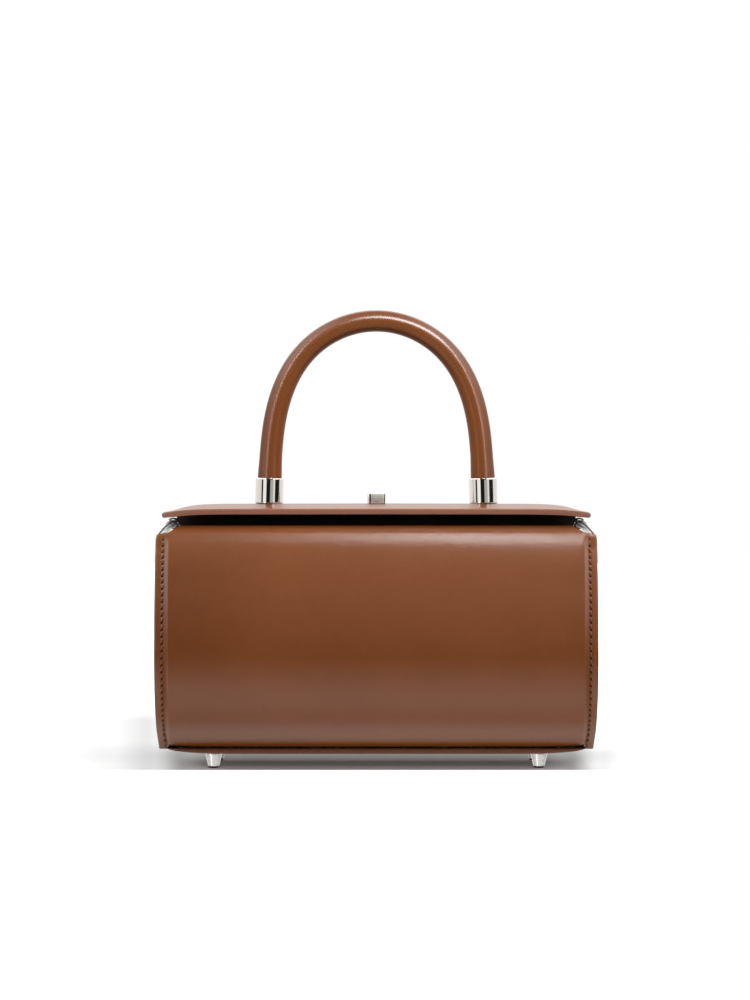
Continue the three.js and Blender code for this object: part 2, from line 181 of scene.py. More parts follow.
def leather(name, low, high, rough=0.34, grain=1150.0, depth=0.00007, strength=0.35, gloss=None):
    """Smooth finished leather: a fine pebble grain, soft mottling, and a tone painted on the mesh: painted shade in
    creases and painted light on ridges, with a painted sheen where the tone is high.
    """
    m, n, bsdf = material(name)
    where = stretched(n)
    cloud = n.noise(where, 16.0, 4.0, 0.55)
    mottle = n.noise(where, 210.0, 3.0, 0.6)
    colour = n.mix(n.span(cloud, 0.3, 0.7, 0.0, 1.0), low, high)
    fleck = min(1.0, strength / 0.35)
    spots = n.span(mottle, 0.28, 0.74, 1 - 0.02 * fleck, 1 + 0.02 * fleck)
    colour = n.mix(1.0, colour, spots, "MULTIPLY")
    cells = n.new("TexVoronoi", feature="DISTANCE_TO_EDGE", Scale=grain)
    wobble = n.new("TexNoise", Scale=grain * 0.55, Detail=1.0)
    n.join(where, wobble.inputs["Vector"])
    shift = n.new("VectorMath", operation="SCALE")
    n.join(wobble.outputs["Color"], shift.inputs[0])
    shift.inputs["Scale"].default_value = 0.55 / grain
    moved = n.new("VectorMath", operation="ADD")
    n.join(where, moved.inputs[0])
    n.join(shift.outputs[0], moved.inputs[1])
    n.join(moved.outputs[0], cells.inputs["Vector"])
    pebble = n.span(cells.outputs["Distance"], 0.0, 0.32, 0.0, 1.0)
    fine = n.noise(where, grain * 3.1, 2.0, 0.6)
    # the mesh's tone: below 0.5 it darkens the leather as painted shade, above 0.5 it lightens it as painted light, and
    # above 0.82 it pales it towards a pinkish grey as a painted sheen
    tone = n.new("Attribute", attribute_name="tone").outputs["Fac"]
    shade = n.math("ADD", n.math("MULTIPLY", tone, 1.9), 0.05)
    colour = n.mix(1.0, colour, shade, "MULTIPLY")
    colour = n.mix(n.span(tone, 0.82, 1.0, 0.0, 1.0), colour, (0.46, 0.29, 0.225))
    crease = n.span(pebble, 0.0, 0.6, 1 - 0.045 * fleck, 1.0)
    colour = n.mix(1.0, colour, crease, "MULTIPLY")
    n.join(colour, bsdf.inputs["Base Color"])
    wear_and_painted_light = n.math("ADD", n.span(mottle, 0.25, 0.75, rough - 0.01 * fleck, rough + 0.01 * fleck), n.span(pebble, 0.0, 0.7, 0.04 * fleck, 0.0))
    n.join(wear_and_painted_light, bsdf.inputs["Roughness"])
    height = n.math("ADD", n.math("MULTIPLY", pebble, 0.75), n.math("MULTIPLY", fine, 0.4))
    if strength > 0.02:
        n.join(n.bump(height, strength, depth), bsdf.inputs["Normal"])
    if gloss:
        n.join(n.new("Attribute", attribute_name=gloss).outputs["Fac"], bsdf.inputs["Specular IOR Level"])
    else:
        bsdf.inputs["Specular IOR Level"].default_value = 0.5
    bsdf.inputs["IOR"].default_value = 1.5
    return m


def edge_paint(name, colour, rough=0.42):
    """Painted raw edge: nearly even, a little wavy, with a slight sheen."""
    m, n, bsdf = material(name)
    where = stretched(n)
    wave = n.noise(where, 320.0, 3.0, 0.55)
    n.join(n.mix(n.span(wave, 0.3, 0.7, 0.0, 1.0), tuple(c * 0.82 for c in colour), tuple(c * 1.18 for c in colour)), bsdf.inputs["Base Color"])
    n.join(n.span(wave, 0.25, 0.75, rough - 0.06, rough + 0.08), bsdf.inputs["Roughness"])
    n.join(n.bump(wave, 0.3, 0.00012), bsdf.inputs["Normal"])
    bsdf.inputs["Specular IOR Level"].default_value = 0.08
    return m


def lining(name, colour):
    """Matt microsuede on the inside."""
    m, n, bsdf = material(name)
    where = stretched(n)
    nap = n.noise(where, 2600.0, 3.0, 0.65)
    brush = n.noise(where, 60.0, 3.0, 0.5)
    base = n.mix(n.span(brush, 0.3, 0.7, 0.0, 1.0), tuple(c * 0.8 for c in colour), tuple(c * 1.2 for c in colour))
    n.join(n.mix(1.0, base, n.span(nap, 0.2, 0.8, 0.8, 1.15), "MULTIPLY"), bsdf.inputs["Base Color"])
    n.join(n.span(nap, 0.2, 0.8, 0.82, 0.96), bsdf.inputs["Roughness"])
    n.join(n.bump(nap, 0.4, 0.00012), bsdf.inputs["Normal"])
    return m


def thread(name, colour):
    """Waxed sewing thread, twisted."""
    m, n, bsdf = material(name)
    where = stretched(n)
    twist = n.new("TexWave", wave_type="BANDS", bands_direction="DIAGONAL", Scale=1500.0, Distortion=0.6)
    n.join(where, twist.inputs["Vector"])
    yarn = n.mix(twist.outputs["Fac"], tuple(c * 0.78 for c in colour), tuple(c * 1.12 for c in colour))
    # tone pales the thread towards its upper end as a painted highlight and darkens it at its ends as painted shade
    # where it goes into the holes
    wear_and_painted_light = n.new("Attribute", attribute_name="tone").outputs["Fac"]
    yarn = n.mix(n.span(wear_and_painted_light, 0.5, 1.0, 0.0, 1.0), yarn, (0.56, 0.36, 0.26))
    n.join(n.mix(1.0, yarn, n.span(wear_and_painted_light, 0.0, 0.5, 0.1, 1.0, smooth=False), "MULTIPLY"), bsdf.inputs["Base Color"])
    n.join(n.span(twist.outputs["Fac"], 0.0, 1.0, 0.62, 0.5), bsdf.inputs["Roughness"])
    n.join(n.bump(twist.outputs["Fac"], 0.5, 0.00008), bsdf.inputs["Normal"])
    bsdf.inputs["Specular IOR Level"].default_value = 0.12
    return m


def polished(name, colour, rough=0.07):
    """Polished plated metal with faint wiping marks."""
    m, n, bsdf = material(name)
    where = stretched(n)
    haze = n.noise(where, 260.0, 3.0, 0.55)
    lines = n.noise(stretched(n, 5200.0, 5200.0, 420.0), 1.0, 2.0, 0.5)
    n.join(n.mix(n.span(haze, 0.3, 0.7, 0.0, 1.0), tuple(c * 0.965 for c in colour), colour), bsdf.inputs["Base Color"])
    n.join(n.math("ADD", n.span(haze, 0.25, 0.75, rough - 0.02, rough + 0.025), n.span(lines, 0.55, 0.8, 0.0, 0.04)), bsdf.inputs["Roughness"])
    n.join(n.bump(lines, 0.05, 0.00001), bsdf.inputs["Normal"])
    bsdf.inputs["Metallic"].default_value = 1.0
    return m


def satin(name, colour, rough=0.3, around=True, metallic=1.0):
    """Turned or brushed metal: fine lines across the height or along the bar."""
    m, n, bsdf = material(name)
    scale = (240.0, 240.0, 9000.0) if around else (9000.0, 240.0, 240.0)
    lines = n.noise(stretched(n, *scale), 1.0, 3.0, 0.6)
    haze = n.noise(stretched(n), 330.0, 2.0, 0.5)
    n.join(n.mix(n.span(lines, 0.25, 0.75, 0.0, 1.0), tuple(c * 0.9 for c in colour), colour), bsdf.inputs["Base Color"])
    n.join(n.math("ADD", n.span(lines, 0.2, 0.8, rough - 0.05, rough + 0.06), n.span(haze, 0.3, 0.7, 0.0, 0.04)), bsdf.inputs["Roughness"])
    n.join(n.bump(lines, 0.18, 0.00003), bsdf.inputs["Normal"])
    bsdf.inputs["Metallic"].default_value = metallic
    return m


TAN = leather("leather_tan", (0.145, 0.0411, 0.0094), (0.160, 0.0461, 0.0113), rough=0.2)
TAN_PANEL = leather("leather_tan_panel", (0.145, 0.0411, 0.0094), (0.160, 0.0461, 0.0113), rough=0.2, gloss="gloss")
TAN_LID = leather("leather_tan_lid", (0.116, 0.0340, 0.0080), (0.128, 0.0380, 0.0096), rough=0.34, strength=0.08)
TAN_RIM = leather("leather_tan_rim", (0.225, 0.090, 0.052), (0.250, 0.102, 0.060), rough=0.3, gloss="gloss")
TAN_HANDLE = leather("leather_tan_handle", (0.133, 0.0392, 0.0100), (0.147, 0.0444, 0.0122), rough=0.25, strength=0.012, gloss="gloss")
TAN_DARK = leather("leather_dark", (0.100, 0.0296, 0.0090), (0.119, 0.0362, 0.0114), rough=0.4)
EDGE = edge_paint("painted_edge", (0.030, 0.0125, 0.0065))
LINING = lining("lining", (0.045, 0.030, 0.027))
THREAD = thread("sewing_thread", (0.20, 0.070, 0.024))
CHROME = polished("polished_metal", (0.86, 0.84, 0.81))
SATIN = satin("satin_metal", (0.84, 0.83, 0.81), rough=0.26, around=True, metallic=0.65)
# a darker copy of the satin metal for the back feet: painted shade
SATIN_SHADE = satin("satin_metal_shade", (0.34, 0.33, 0.32), rough=0.3, around=True)
# the wire finish is a near-white colour with little metal in it, so it shows white whatever surrounds it: a painted
# reflection
WIRE = satin("wire_metal", (0.95, 0.94, 0.92), rough=0.22, around=False, metallic=0.25)
BRUSHED = satin("brushed_metal", (0.92, 0.89, 0.83), rough=0.55, around=False)

# ------------------------------------------------------------------ mesh helpers


def add_mesh(name, verts, faces, mats, face_mats=None, tone=None, gloss=None):
    mesh = bpy.data.meshes.new(name)
    mesh.from_pydata((np.asarray(verts, float) * MM).tolist(), [], [list(map(int, f)) for f in faces])
    for m in mats:
        mesh.materials.append(m)
    if face_mats is not None:
        mesh.polygons.foreach_set("material_index", np.asarray(face_mats, np.int32))
    mesh.polygons.foreach_set("use_smooth", np.ones(len(mesh.polygons), bool))
    values = np.full(len(mesh.vertices), 0.5, np.float32) if tone is None else np.asarray(tone, np.float32)
    attribute = mesh.attributes.new("tone", "FLOAT", "POINT")
    attribute.data.foreach_set("value", values)
    if gloss is not None:
        mesh.attributes.new("gloss", "FLOAT", "POINT").data.foreach_set("value", np.asarray(gloss, np.float32))
    mesh.update()
    obj = bpy.data.objects.new(name, mesh)
    scene.collection.objects.link(obj)
    b = bmesh.new()
    b.from_mesh(mesh)
    bmesh.ops.recalc_face_normals(b, faces=b.faces)
    b.to_mesh(mesh)
    b.free()
    return obj


def applied(obj):
    """Bakes an object's modifiers into its mesh."""
    graph = bpy.context.evaluated_depsgraph_get()
    mesh = bpy.data.meshes.new_from_object(obj.evaluated_get(graph), preserve_all_data_layers=True, depsgraph=graph)
    old = obj.data
    obj.modifiers.clear()
    obj.data = mesh
    bpy.data.meshes.remove(old)
    return obj


def finish_piece(obj, slot, *nodes, body="bag"):
    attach(obj, body)
    if nodes:
        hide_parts(*nodes)
    return obj


def lerp_table(table, at, column=1):
    return np.interp(at, [row[0] for row in table], [row[column] for row in table])


def smooth01(t):
    t = np.clip(t, 0, 1)
    return t * t * (3 - 2 * t)


def spline2(points, count):
    """Natural cubic spline through 2-D points, evenly sampled along its chord length."""
    p = np.asarray(points, float)
    t = np.concatenate([[0], np.cumsum(np.hypot(*np.diff(p, axis=0).T))])
    n = len(t)
    h = np.diff(t)
    a = np.zeros((n, n))
    r = np.zeros((n, 2))
    a[0, 0] = a[-1, -1] = 1
    for i in range(1, n - 1):
        a[i, i - 1], a[i, i], a[i, i + 1] = h[i - 1], 2 * (h[i - 1] + h[i]), h[i]
        r[i] = 6 * ((p[i + 1] - p[i]) / h[i] - (p[i] - p[i - 1]) / h[i - 1])
    m = np.linalg.solve(a, r)
    u = np.linspace(0, t[-1], count)
    i = np.clip(np.searchsorted(t, u) - 1, 0, n - 2)
    d, e, hh = (u - t[i])[:, None], (t[i + 1] - u)[:, None], h[i][:, None]
    return (m[i] * e**3 + m[i + 1] * d**3) / (6 * hh) + (p[i] / hh - m[i] * hh / 6) * e + (p[i + 1] / hh - m[i + 1] * hh / 6) * d


def resample(points, step=None, count=None):
    p = np.asarray(points, float)
    s = np.concatenate([[0], np.cumsum(np.linalg.norm(np.diff(p, axis=0), axis=1))])
    count = count or int(round(s[-1] / step)) + 1
    u = np.linspace(0, s[-1], count)
    return np.stack([np.interp(u, s, p[:, k]) for k in range(p.shape[1])], 1), u


def blurred(points, sigma, where=None):
    """Smooths an evenly spaced path, holding its ends; where limits it to part of the path."""
    p = np.asarray(points, float)
    reach = int(4 * sigma) + 1
    k = np.exp(-0.5 * (np.arange(-reach, reach + 1) / sigma) ** 2)
    k /= k.sum()
    head = 2 * p[0] - p[reach:0:-1]
    tail = 2 * p[-1] - p[-2:-reach - 2:-1]
    q = np.concatenate([head, p, tail])
    out = np.stack([np.convolve(q[:, c], k, "valid") for c in range(p.shape[1])], 1)
    if where is not None:
        w = np.asarray(where)[:, None]
        out = p * (1 - w) + out * w
    return out


def rounded_rect(hx, hy, r, n):
    """n points round a rectangle with round corners, evenly spaced, starting at the middle of the +x side."""
    arcs = []
    for cx, cy, a in ((hx - r, hy - r, 0), (-hx + r, hy - r, 90), (-hx + r, -hy + r, 180), (hx - r, -hy + r, 270)):
        w = np.radians(np.linspace(a, a + 90, 40))
        arcs.append(np.stack([cx + r * np.cos(w), cy + r * np.sin(w)], 1))
    loop = np.concatenate([[[hx, 0]], *arcs, [[hx, 0]]])
    return resample(loop, count=n + 1)[0][:-1]


def loft(rings, closed=False, cap=True):
    """Faces between rings of equal length; closed joins the last ring to the first, cap closes the ends with a fan point."""
    n = len(rings[0])
    verts = np.concatenate(rings)
    count = len(rings)
    faces = []
    for i in range(count if closed else count - 1):
        a, b = i * n, ((i + 1) % count) * n
        for k in range(n):
            faces.append((a + k, a + (k + 1) % n, b + (k + 1) % n, b + k))
    if cap and not closed:
        for ring, base in ((rings[0], 0), (rings[-1], (count - 1) * n)):
            centre = len(verts)
            verts = np.concatenate([verts, [np.mean(ring, axis=0)]])
            faces += [(base + k, base + (k + 1) % n, centre) for k in range(n)]
    return verts, faces


def lathe(rows, n=72, closed=False):
    """Rings round the z axis from rows of radius and height."""
    w = 2 * np.pi * np.arange(n) / n
    rings = [np.stack([r * np.cos(w), r * np.sin(w), np.full(n, z)], 1) for r, z in rows]
    return loft(rings, closed=closed)


def joined(parts):
    verts, faces, shift = [], [], 0
    for v, f in parts:
        verts.append(np.asarray(v, float))
        faces += [tuple(i + shift for i in face) for face in f]
        shift += len(v)
    return np.concatenate(verts), faces


def tube(path, radii, across, n, closed=False):
    """A round tube along a path that lies in a plane; across is the plane's normal."""
    p = np.asarray(path, float)
    ahead = np.roll(p, -1, 0) - np.roll(p, 1, 0) if closed else np.gradient(p, axis=0)
    ahead /= np.linalg.norm(ahead, axis=1)[:, None]
    across = np.asarray(across, float)
    out = np.cross(across, ahead)
    w = 2 * np.pi * np.arange(n) / n
    rings = [p[i] + radii[i] * (np.cos(w)[:, None] * out[i] + np.sin(w)[:, None] * across) for i in range(len(p))]
    return rings


# ------------------------------------------------------------------ body profile

dense = spline2([(HALF_DEPTH - setback, z) for z, setback in PROFILE], 2600)
fold_at = dense[-1]
lip_end = np.array([HALF_DEPTH - LIP[1], LIP[0]])
dense, _ = resample(np.concatenate([dense, np.linspace(fold_at, lip_end, 120)[1:]]), step=0.05)
near_fold = np.exp(-0.5 * ((np.hypot(*(dense - fold_at).T)) / 3.0) ** 2)
dense = blurred(dense, 14.0, near_fold)
ROW_STEP = STITCH_PITCH / 10
rows_p, rows_s = resample(dense, step=ROW_STEP)
tangent = np.gradient(rows_p, axis=0)
tangent /= np.linalg.norm(tangent, axis=1)[:, None]
rows_n = np.stack([tangent[:, 1], -tangent[:, 0]], 1)
fold_row = int(np.argmin(np.hypot(*(rows_p - fold_at).T)))
FOLD_S, END_S = rows_s[fold_row], rows_s[-1]


def at_s(s):
    """Profile point and outward normal at a length along the profile; past the ends it runs on straight."""
    s = np.asarray(s, float)
    p = np.stack([np.interp(s, rows_s, rows_p[:, k]) for k in (0, 1)], -1)
    n = np.stack([np.interp(s, rows_s, rows_n[:, k]) for k in (0, 1)], -1)
    n /= np.linalg.norm(n, axis=-1, keepdims=True)
    over = np.minimum(s, 0) + np.maximum(s - END_S, 0)
    along = np.stack([-n[..., 1], n[..., 0]], -1)
    return p + along * over[..., None], n


def half_width(s):
    p, _ = at_s(s)
    body = lerp_table(HALF_WIDTH, p[..., 1])
    t = np.clip((s - FOLD_S) / (END_S - FOLD_S), 0, 1.2)
    lip = LIP_HALF_WIDTH[0] + (LIP_HALF_WIDTH[1] - LIP_HALF_WIDTH[0]) * t
    return body + (lip - body) * smooth01((s - FOLD_S + 0.6) / 1.2)


flank_at = np.linspace(0, 12, 1201)
flank_slope = smooth01((flank_at - PILLOW_FLANK[0]) / PILLOW_FLANK[1]) * (1 - smooth01((flank_at - PILLOW_FLANK[2]) / PILLOW_FLANK[3]))
flank_rise = np.cumsum(flank_slope)
flank_rise *= PILLOW_RISE / flank_rise[-1]


def rise(inset):
    """Height of the pillow above the stitched border."""
    return np.interp(inset, flank_at, flank_rise)


def run_on(s, inset):
    """Length along the profile, drawn out at the bottom: the borders reach down past the base, the pillow's corners stop short."""
    beside = smooth01((inset - 4.5) / 1.0)
    drop = 5.3 * (1 - beside) - 1.5 * beside * np.exp(-np.maximum(inset - 5.5, 0) / 8.0)
    return s - drop * (1 - smooth01(s / 14.0))


top_stitch_s = float(np.interp(STITCH_TOP_Z, rows_p[: fold_row + 1, 1], rows_s[: fold_row + 1]))
STITCH_S = top_stitch_s - STITCH_PITCH * np.arange(int((top_stitch_s - 0.8) / STITCH_PITCH) + 1)

# ------------------------------------------------------------------ front and back panels

HALF_INSETS = [0, 0.08, 0.22, 0.42, 0.65, 0.9, 1.2, 1.7, 2.2, 2.6, 2.85, 3.0, 3.15, 3.3, 3.42, 3.55, 3.68, 3.8, 3.95, 4.1, 4.3, 4.5, 4.7,
               4.9, 5.1, 5.3, 5.5, 5.7, 5.95, 6.2, 6.5, 6.8, 7.1, 7.6, 8.5, 9.7, 11.2, 13, 16, 20, 26, 34, 44, 56, 70, 86]
EDGE_R = 0.9


def panel(name, side):
    insets = np.array(HALF_INSETS)
    columns = [(-1, i) for i in insets] + [(0, 105.0)] + [(1, i) for i in insets[::-1]]
    signs = np.array([c[0] for c in columns], float)
    inset = np.array([c[1] for c in columns], float)
    count = len(columns)
    # the rows run past both ends to round them off
    turns = np.radians([80, 62, 42, 22])
    extra = 0.9 * np.sin(turns)
    s_all = np.concatenate([-extra, rows_s, END_S + extra[::-1]])
    slim = np.concatenate([0.9 * (1 - np.cos(turns)), np.zeros(len(rows_s)), 0.9 * (1 - np.cos(turns[::-1]))])
    s_grid = run_on(s_all[:, None], inset[None, :])
    point, normal = at_s(s_grid)
    wide = half_width(s_grid)
    # edge rounding and pillow, by column; the border comes up towards the pillow on the lip
    flat = smooth01((s_all - FOLD_S + 9.0) / 8.0)[:, None]
    up = (rise(inset)[None, :] - PILLOW_RISE) * (1 - flat)
    drop = np.where(inset < EDGE_R, EDGE_R - np.sqrt(np.maximum(EDGE_R**2 - (EDGE_R - np.minimum(inset, EDGE_R)) ** 2, 0)), 0)[None, :]
    outer = up - drop - slim[:, None]
    inner = up - WALL + drop + slim[:, None]
    # slanted needle holes and the slight channel that the thread pulls in
    away = inset - STITCH_INSET
    lean = 0.85 * away
    along = np.exp(-0.5 * ((s_all[:, None, None] - lean[None, :, None] - STITCH_S[None, None, :]) / 0.40) ** 2).sum(2)
    hole = np.clip(along, 0, 1) * np.exp(-0.5 * ((away - 0.06) / 0.34) ** 2)[None, :]
    channel = np.exp(-0.5 * (away / 0.42) ** 2)
    sewn = smooth01((s_all - 0.3) / 1.0) * (1 - smooth01((s_all - STITCH_S[0] - 0.8) / 1.0))
    outer = outer - 0.5 * hole - 0.08 * sewn[:, None] * channel[None, :]
    # tone: dark in the holes as painted shade, pale along the fold as a painted highlight, dark by the cut edge
    tone = 0.5 - 0.5 * np.clip(1.5 * hole, 0, 1)
    tone = tone - 0.26 * np.exp(-((inset / 0.5) ** 2))[None, :] + 0.05 * np.exp(-0.5 * ((inset - 1.25) / 0.35) ** 2)[None, :]
    tone = tone + 0.10 * np.exp(-0.5 * ((s_all - FOLD_S) / 0.4) ** 2)[:, None]
    x = np.where(signs == 0, 0.0, signs)[None, :] * (wide - inset[None, :])
    # the ends are a little darker than the middle, painted shade; the turned-in lip is paler, painted light; the lowest
    # rows are darker, painted shade
    ends = (0.14 + 0.86 * smooth01((point[..., 1] - 38) / 30) - 0.7 * smooth01((point[..., 1] - 98) / 10)) * (0.20 * smooth01((-x - 42) / 60) + 0.10 * smooth01((x - 84) / 16))
    lip = 0.08 * smooth01((s_all - FOLD_S - 0.4) / 1.2)[:, None] - 0.38 * np.exp(-np.maximum(s_all, 0) / 1.7)[:, None]
    tone = ((1 - ends) * (1 + lip) * (1.9 * tone + 0.05) - 0.05) / 1.9

    def grid(offset):
        y = side * (point[..., 0] + normal[..., 0] * offset)
        z = point[..., 1] + normal[..., 1] * offset
        return np.stack([x, y, z], -1)

    rings = np.concatenate([grid(outer), grid(inner)[:, ::-1]], 1)
    verts = rings.reshape(-1, 3)
    m = 2 * count
    rows = len(s_all)
    tones = np.concatenate([tone, np.full_like(tone, 0.5)], 1).reshape(-1)
    gloss = 0.5 - 0.5 * np.clip(1.5 * hole, 0, 1) * (0.2 + 0.8 * smooth01(inset / 0.8))[None, :]
    gloss = gloss * (0.55 + 0.45 * smooth01((s_all - 4) / 8))[:, None]
    slope = np.clip(rise(inset) / PILLOW_RISE, 0, 1)
    gloss = gloss * (1 - 2.4 * (slope * (1 - slope))[None, :] * (1 - smooth01((point[..., 1] - 50) / 35)))
    glosses = np.concatenate([gloss, np.full_like(gloss, 0.5)], 1).reshape(-1)
    faces, kinds = [], []
    inset_ring = np.concatenate([inset, inset[::-1]])
    for k in range(m):
        k2 = (k + 1) % m
        edge = max(inset_ring[k], inset_ring[k2]) <= 0.27
        kind = 1 if edge else (0 if k < count else 2)
        for r in range(rows - 1):
            faces.append((r * m + k, r * m + k2, (r + 1) * m + k2, (r + 1) * m + k))
            rim = r < 3 or r >= rows - 4
            kinds.append(1 if (rim and kind == 2) else kind)
    for r in (0, rows - 1):
        for k in range(count - 1):
            faces.append((r * m + k, r * m + k + 1, r * m + m - 2 - k, r * m + m - 1 - k))
            kinds.append(1)
    return add_mesh(name, verts, faces, [TAN_PANEL, EDGE, LINING], kinds, tones, glosses)


front_piece = finish_piece(panel("front_leather", -1), "leather_tan", "front_panel")
finish_piece(panel("back_leather", 1), "leather_tan", "back_panel")


def stitches(name, side):
    """One capsule of thread for each stitch, along both sewn borders."""
    parts, tones = [], []
    n = 10
    w = 2 * np.pi * np.arange(n) / n
    length = STITCH_PITCH - 1.05
    # place along the stitch from its lower end, thickness, and tone there: pale towards the upper end as a painted
    # highlight, dark at both ends as painted shade where the thread goes into the holes
    stations = [(-0.5, 0.02, 0.2), (-0.47, 0.5, 0.3), (-0.40, 0.80, 0.42), (-0.25, 0.95, 0.5), (0, 1.0, 0.54), (0.22, 1.05, 0.62),
                (0.36, 1.02, 0.74), (0.44, 0.80, 0.74), (0.485, 0.45, 0.62), (0.5, 0.02, 0.4)]
    for sign in (-1, 1):
        for s0 in STITCH_S[:-1]:
            mid = s0 - STITCH_PITCH / 2 - 0.05
            rings = []
            for t, r, wear_and_painted_light in stations:
                s = mid + t * length
                p, nn = at_s(run_on(s, STITCH_INSET))
                sag = -0.22 * (2 * abs(t)) ** 3
                x = sign * (float(half_width(s)) - STITCH_INSET - 0.22 * t)
                off = -PILLOW_RISE * (1 - float(smooth01((s - FOLD_S + 9.0) / 8.0))) + 0.06 + sag
                centre = np.array([x, side * (p[0] + nn[0] * off), p[1] + nn[1] * off])
                radial = np.array([0, side * nn[0], nn[1]])
                rings.append(centre + 0.33 * r * (np.cos(w)[:, None] * np.array([1.0, 0, 0]) + np.sin(w)[:, None] * radial))
                # the painted highlight on the thread fades towards the bottom of the wall
                fade = 0.15 + 0.85 * float(smooth01((p[1] - 45) / 55))
                tones += [0.5 + (wear_and_painted_light - 0.5) * fade if wear_and_painted_light > 0.5 else wear_and_painted_light] * n
            tones += [stations[0][2], stations[-1][2]]
            parts.append(loft(rings))
    verts, faces = joined(parts)
    return add_mesh(name, verts, faces, [THREAD], None, tones)


finish_piece(stitches("front_stitches", -1), "leather_tan")
finish_piece(stitches("back_stitches", 1), "leather_tan")

# ------------------------------------------------------------------ side gussets

GUSSET_INSET = PILLOW_RISE + WALL + 0.3
GUSSET_WALL = 1.8
SHOULDER = [(107.2, 0.0), (108.8, 0.25), (110.2, 0.95), (111.6, 2.05), (113.2, 3.4), (114.7, 4.7)]


def gusset(name, sign):
    # outline of the side wall, in half depth and height
    offset = -GUSSET_INSET
    line = np.stack([rows_p[:, 0] + rows_n[:, 0] * offset, rows_p[:, 1] + rows_n[:, 1] * offset], 1)
    line = line[: fold_row - 2]
    order = np.argsort(line[:, 1])
    zs = np.unique(np.concatenate([np.linspace(11.3, 17, 8), np.linspace(17, 100, 56), np.linspace(100, 114.7, 30)]))
    depth = np.interp(zs, line[order, 1], line[order, 0])
    slope = (line[-1, 0] - line[-12, 0]) / (line[-1, 1] - line[-12, 1])
    depth = np.where(zs > line[:, 1].max(), line[-1, 0] + slope * (zs - line[:, 1].max()), depth)
    face_x = 104.55 + 0.5 * (lerp_table(HALF_WIDTH, zs) - 105.3) - lerp_table(SHOULDER, zs)
    middle, span = 60.0, 52.0
    swell = 1.1 * np.clip(1 - ((zs - middle) / span) ** 2, 0, 1)
    corner = 1.7
    arc = np.radians(np.linspace(0, 90, 7))
    verts, tones = [], []
    lanes = np.concatenate([np.linspace(-1, -0.9, 5), np.linspace(-0.9, 0.9, 31)[1:-1], np.linspace(0.9, 1, 5)])
    for z, d, fx, sw in zip(zs, depth, face_x, swell):
        section = []
        for rim_x in np.linspace(97.0, fx - corner, 6)[:-1]:
            section.append((rim_x, -d))
        for a in arc:
            section.append((fx - corner + corner * math.sin(a), -d + corner - corner * math.cos(a)))
        for v in lanes[1:-1]:
            section.append((fx + sw * (1 - v * v), v * (d - corner)))
        for a in arc[::-1]:
            section.append((fx - corner + corner * math.sin(a), d - corner + corner * math.cos(a)))
        for rim_x in np.linspace(fx - corner, 97.0, 6)[1:]:
            section.append((rim_x, d))
        verts += [(sign * sx, sy, z) for sx, sy in section]
        tones += [0.46 if abs(sy) > d - 1.0 else 0.5 for sx, sy in section]
    m = len(section)
    faces = []
    for r in range(len(zs) - 1):
        for k in range(m - 1):
            faces.append((r * m + k, r * m + k + 1, (r + 1) * m + k + 1, (r + 1) * m + k))
    obj = add_mesh(name, verts, faces, [TAN, LINING, EDGE], None, tones)
    # the sheet faces out before it gets its thickness
    mesh = obj.data
    mid = mesh.polygons[len(mesh.polygons) // 2]
    if mid.normal.x * sign < 0:
        mesh.flip_normals()
    solid = obj.modifiers.new("thick", "SOLIDIFY")
    solid.thickness = GUSSET_WALL * MM
    solid.offset = -1
    solid.use_even_offset = True
    solid.material_offset = 1
    solid.material_offset_rim = 2
    return applied(obj)


finish_piece(gusset("side_leather_right", 1), "leather_tan", "gusset_right")
finish_piece(gusset("side_leather_left", -1), "leather_tan", "gusset_left")

# ------------------------------------------------------------------ lid and base


